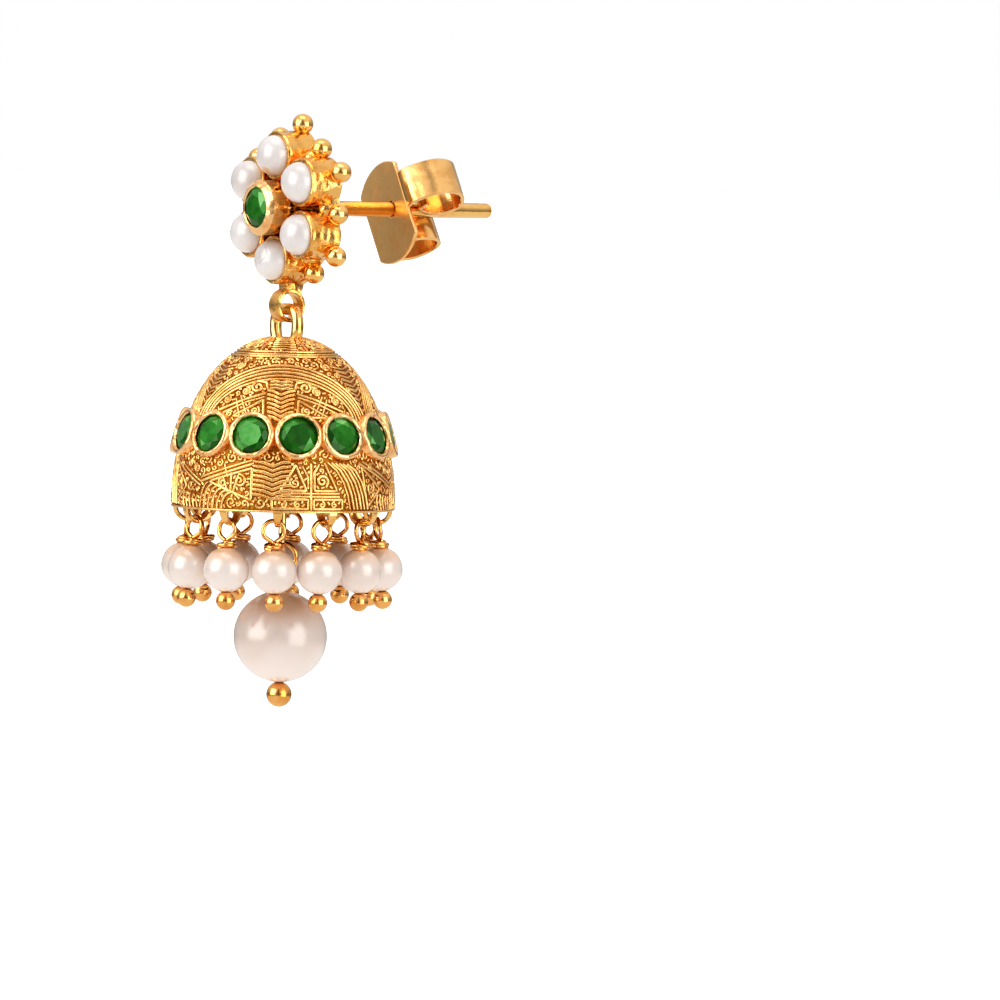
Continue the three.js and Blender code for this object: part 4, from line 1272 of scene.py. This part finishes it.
# The band's stones: fourteen round brilliants of the same green glass. Their faces carry painted light:
# some tables are painted light and others dark, as if each catches the light.
STONE_LOOKS = (  # each stone's painted table shade, the side that is painted lit, and the side of a painted spark
    (0.16, 140, -35), (0.36, 60, 95), (0.22, -20, 200), (0.5, 90, 300), (0.3, 30, 170),
    (0.6, 150, 270), (0.2, 120, 350), (0.45, 80, 210), (0.15, 10, 130), (0.55, 100, 320),
    (0.3, 160, 20), (0.4, 60, 230), (0.46, 70, 250), (0.66, 120, 230),
)
band_stones = Shape()
band_painted_lights = []
for index, (place, look) in enumerate(zip(band_places, STONE_LOOKS)):
    place = place @ Matrix.Rotation(0.1 * (index % 3 - 1), 4, "Z")
    cut_stone(band_stones, band_painted_lights, place, band_radius, 40 + index, look)
band_stones = stone_object("band_stones", band_stones, band_painted_lights, green_glass)
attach(band_stones, "bell")
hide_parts(*(f"band_stone_{i + 1}" for i in range(BAND_STONES)))


# The bell's fittings: the wire loop on its top, the rod with an eye that hangs inside it, and twelve
# tapered straps bent into lugs under the rim. All are soldered on.
LOOP_WIRE = 0.38
LOOP_HALF_WIDTH = 1.22
ROD_RADIUS = 0.25
ROD_EYE_RADIUS = 0.48
ROD_EYE_WIRE = 0.21
LUG_BAR = 0.3
LUG_WIDTH = 0.54
LINK_WIRE = 0.16
LINK_CLEARANCE = 0.06
DROPS = 12

fittings = Shape()
loop_top = max(point.z for point in bell_points) - LOOP_WIRE
loop_height = loop_top - bell_top
loop_foot = bell_top - BELL_WALL / 2
half_loop = [
    (0.84 * LOOP_HALF_WIDTH, loop_foot), (LOOP_HALF_WIDTH, bell_top + 0.3 * loop_height),
    (0.93 * LOOP_HALF_WIDTH, bell_top + 0.74 * loop_height), (0.55 * LOOP_HALF_WIDTH, loop_top),
]
loop_line = [(-x, 0, z) for x, z in half_loop] + [(x, 0, z) for x, z in reversed(half_loop)]
fittings.swept(
    smooth_line(loop_line, 9), round_section(LOOP_WIRE, 20), place=Matrix.Translation(bell_axis)
)
link_low, link_high = box_mm("main_link")
rod_eye_z = link_high.z - LINK_WIRE + ROD_EYE_RADIUS - ROD_EYE_WIRE - LINK_WIRE - LINK_CLEARANCE
fittings.swept([
    bell_axis + Vector((0, 0, rod_eye_z + ROD_EYE_RADIUS)), bell_axis + Vector((0, 0, loop_foot)),
], round_section(ROD_RADIUS, 16))
across_link = Vector((math.cos(math.radians(bell_turn)), math.sin(math.radians(bell_turn)), 0))
through_link = Vector((-across_link.y, across_link.x, 0))


def upright_ring(centre, across, radius, count):
    """Points round a circle that stands upright, with a diameter along across."""
    return [centre + (across * math.cos(angle) + UP * math.sin(angle)) * radius
            for angle in round_angles(count)]


rod_eye = bell_axis + Vector((0, 0, rod_eye_z))
fittings.swept(
    upright_ring(rod_eye, through_link, ROD_EYE_RADIUS, 36), round_section(ROD_EYE_WIRE, 14), closed=True
)
fittings = fittings.mesh_object("bell_fittings", polished_gold)
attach(fittings, "bell")

lug_radius = (bell_radius - mouth_radius) / 2 - 0.03
bar_line = lug_radius - LUG_BAR / 2
lug_points = [(0, -bar_line, 0.2), (0, -bar_line, 0.05)]
for k in range(15):
    angle = math.pi + math.pi * k / 14
    lug_points.append((0, bar_line * math.cos(angle), bar_line * math.sin(angle)))
lug_points += [(0, bar_line, 0.05), (0, bar_line, 0.2)]
lug = Shape()
lug.swept(
    lug_points, sheet_section(LUG_BAR, LUG_WIDTH, 0.07), out=(0, -1, 0),
    widen=lambda share: 0.72 + 0.75 * (2 * share - 1) ** 2,
)
rim_middle = (bell_radius + mouth_radius) / 2
lug_places = []
for index in range(DROPS):
    around = Matrix.Rotation(math.radians(bell_turn + 360 / DROPS * index), 4, "Z")
    spot = bell_axis + around @ Vector((0, -rim_middle, 0)) + Vector((0, 0, rim_z))
    lug_places.append(Matrix.Translation(spot) @ around)
lugs = set_on("rim_lugs", lug, lug_places, polished_gold)
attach(lugs, "bell")


# The rim's head pins: gold wire that ends in a ball under its pearl, runs up through it into an eye in the
# lug, and is wrapped twice round itself above the pearl.
WIRE = 0.14
EYE_HALF_WIDTH = 0.66
EYE_HEIGHT = 1.4
WRAP_HEIGHT = 0.4
WRAP_RADIUS = 0.5
BALL_RADIUS = 0.6


def pin_shape(eye_half_width, eye_height, wrap_height, wire, ball_radius, ball_z, wrap_radius):
    """A head pin along -Z with its eye's top line at the origin and its eye across X."""
    pin = Shape()
    wrap_top = -eye_height
    eye = [(0, 0, wrap_top - wrap_height), (-0.04, 0, wrap_top - 0.02)]
    for k in range(9):
        angle = math.radians(215 - 250 * k / 8)
        eye.append((
            eye_half_width * math.cos(angle), 0.015 * k - 0.06, 0.46 * eye_height * (math.sin(angle) - 1),
        ))
    eye.append((0.1, -0.9 * wire, wrap_top + 0.03))
    turns, steps = 1.9, 7
    for k in range(int(turns * steps) + 1):
        angle = -0.9 + 2 * math.pi * k / steps
        height = wrap_top - 0.06 - (wrap_height - 0.1) * k / (turns * steps) + 0.05 * math.sin(angle)
        swell = wrap_radius * (1 + 0.06 * math.sin(2.3 * k))
        eye.append(about_z(swell, angle, height))
    pin.swept(smooth_line(eye, 5), round_section(wire, 10))
    pin.swept([(0, 0, wrap_top - wrap_height * 0.5), (0, 0, ball_z)], round_section(wire, 10))
    pin.ball(ball_radius, Vector((0, 0, ball_z)), 32)
    return pin


def drop_place(pin_node, pearl_node):
    """A drop's place, its pin's length, and how far down its pearl's middle is.

    The place is at the eye's top line, with +Z up the drop's axis and +X along the rim.
    """
    points = [vertex.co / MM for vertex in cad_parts[pin_node].data.vertices]
    middle = middle_mm(pearl_node)
    foot = max(points, key=lambda point: (point - middle).length if point.z < middle.z else 0)
    up = (middle - foot).normalized()
    reach = max((point - foot).dot(up) for point in points) - WIRE
    top = foot + up * reach
    across = Vector((bell_axis.y - top.y, top.x - bell_axis.x, 0)).normalized()
    across = (across - up * across.dot(up)).normalized()
    place = Matrix.Translation(top) @ turned_to(across, up.cross(across), up)
    return place, reach, (middle - top).length


drops = [drop_place(f"rim_pin_{i + 1}", f"rim_pearl_{i + 1}") for i in range(DROPS)]
pin_length = drops[0][1]
pin_pattern = pin_shape(
    EYE_HALF_WIDTH, EYE_HEIGHT, WRAP_HEIGHT, WIRE, BALL_RADIUS, BALL_RADIUS - pin_length, WRAP_RADIUS
)
sway = random.Random(5)
pin_places = [
    place @ Matrix.Rotation(math.radians(sway.uniform(-16, 16)), 4, "Z") for place, _, _ in drops
]
wire_gold = gold_finish(
    "wire_gold", (0.90, 0.45, 0.13), (0.74, 0.30, 0.06), 0.13, 0.02, 0.6, 0.005, 0.1
)
rim_pins = set_on("rim_pins", pin_pattern, pin_places, wire_gold)
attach(rim_pins, "bell")
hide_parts(*(f"rim_pin_{i + 1}" for i in range(DROPS)))


# The rim's pearls: twelve drilled round pearls, pinkish cream, each a little different in size and tint.
PEARL_RADIUS = 1.42
BORE_RADIUS = 0.21


def drilled_pearl(radius, half_height, sides):
    """A pearl about Z with its drilled hole, which is countersunk at both ends."""
    pearl = Shape()
    bevel = 1.7 * BORE_RADIUS
    start = math.asin(bevel / radius)
    steps = sides // 2
    profile = [(BORE_RADIUS, -half_height * math.cos(start) + 0.11)]
    for i in range(steps + 1):
        angle = start + i / steps * (math.pi - 2 * start)
        profile.append((radius * math.sin(angle), -half_height * math.cos(angle)))
    profile.append((BORE_RADIUS, half_height * math.cos(start) - 0.11))
    profile.append(profile[0])

    def uneven(reach, height, angle):
        spot = about_z(1, angle, height / radius) * 0.9
        return reach * (1 + 0.01 * noise.noise(spot)) if reach > bevel else reach

    pearl.turned(profile, sides, reshape=uneven)
    return pearl


def pearl_finish(name, light, warm, deep, middle_z, radius):
    """Nacre: a light body with painted reflection of the gold and painted shade towards its top, under a
    soft gloss with a faint warm tint.
    """
    finish = Finish(
        name, Roughness=0.28, Coat_Weight=0.9, Coat_Roughness=0.22, Coat_Tint=(1.0, 0.94, 0.90, 1),
        Subsurface_Weight=0.1, Subsurface_Scale=0.001, IOR=1.7,
    )
    height = finish.node("ShaderNodeSeparateXYZ", None, {"Vector": finish.spot}, output="Z")
    # The top mask paints the deep colour towards the pearl's top: painted reflection of the gold bell and
    # painted shade under it.
    top = ((height - middle_z * MM) * (1 / (radius * MM))).between(0.12, 0.85)
    tint = finish.noise(3.1, detail=1.0).between(0.3, 0.7)
    body = finish.mixed(tint, light, warm)
    finish.feed(Base_Color=finish.mixed(top * 0.8, body, deep))
    finish.bump(finish.noise(1.1, detail=2.0), 0.015)
    return finish.material


pearl_places = [Matrix.Translation(place @ Vector((0, 0, -drop))) @ place.to_3x3().to_4x4()
                for place, _, drop in drops]
# The deep colour is painted reflection of the gold and painted shade, towards each pearl's top.
cream_pearl = pearl_finish(
    "cream_pearl", (0.92, 0.86, 0.83), (0.88, 0.79, 0.74), (0.95, 0.60, 0.34),
    middle_mm("rim_pearl_1").z, PEARL_RADIUS,
)
pearl_shares = [1 - sway.uniform(0.0, 0.03) for _ in range(DROPS)]
rim_pearls = set_on(
    "rim_pearls", drilled_pearl(PEARL_RADIUS, PEARL_RADIUS, 48), pearl_places, cream_pearl, pearl_shares
)
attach(rim_pearls, "bell")
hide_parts(*(f"rim_pearl_{i + 1}" for i in range(DROPS)))


# The centre drop: a round link in the rod's eye, a longer head pin through it, and the one large pearl.
LINK_RADIUS = 0.9
MAIN_EYE_HALF_WIDTH = 0.6
MAIN_EYE_HEIGHT = 1.09
MAIN_WRAP_HEIGHT = 0.4
MAIN_WRAP_RADIUS = 0.46
MAIN_BALL_RADIUS = 0.8

link = Shape()
link_line = upright_ring((link_low + link_high) / 2, across_link, LINK_RADIUS, 48)
link.swept(link_line, round_section(LINK_WIRE, 14), closed=True)
link = link.mesh_object("main_link_fine", wire_gold)
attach(link, "centre_drop")
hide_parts("main_link")

pin_low, pin_high = box_mm("main_pin")
main_top = Vector((bell_axis.x, bell_axis.y, pin_high.z - LINK_WIRE))
main_place = Matrix.Translation(main_top) @ turned_to(through_link, UP.cross(through_link), UP)
main_length = main_top.z - pin_low.z
main_pattern = pin_shape(
    MAIN_EYE_HALF_WIDTH, MAIN_EYE_HEIGHT, MAIN_WRAP_HEIGHT, LINK_WIRE, MAIN_BALL_RADIUS,
    MAIN_BALL_RADIUS - main_length, MAIN_WRAP_RADIUS,
)
main_pin = set_on("main_pin_fine", main_pattern, [main_place], wire_gold)
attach(main_pin, "centre_drop")
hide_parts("main_pin")

pearl_low, pearl_high = box_mm("main_pearl")
main_pearl_radius = (pearl_high.x - pearl_low.x) / 2
# The deep colour is painted reflection of the gold and painted shade, towards the pearl's top.
large_pearl = pearl_finish(
    "large_pearl", (0.92, 0.85, 0.82), (0.88, 0.78, 0.73), (0.98, 0.58, 0.30),
    pearl_middle.z, main_pearl_radius,
)
main_pattern = drilled_pearl(main_pearl_radius, (pearl_high.z - pearl_low.z) / 2 + 0.02, 80)
main_pearl = set_on("main_pearl_fine", main_pattern, [Matrix.Translation(pearl_middle)], large_pearl)
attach(main_pearl, "centre_drop")
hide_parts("main_pearl")
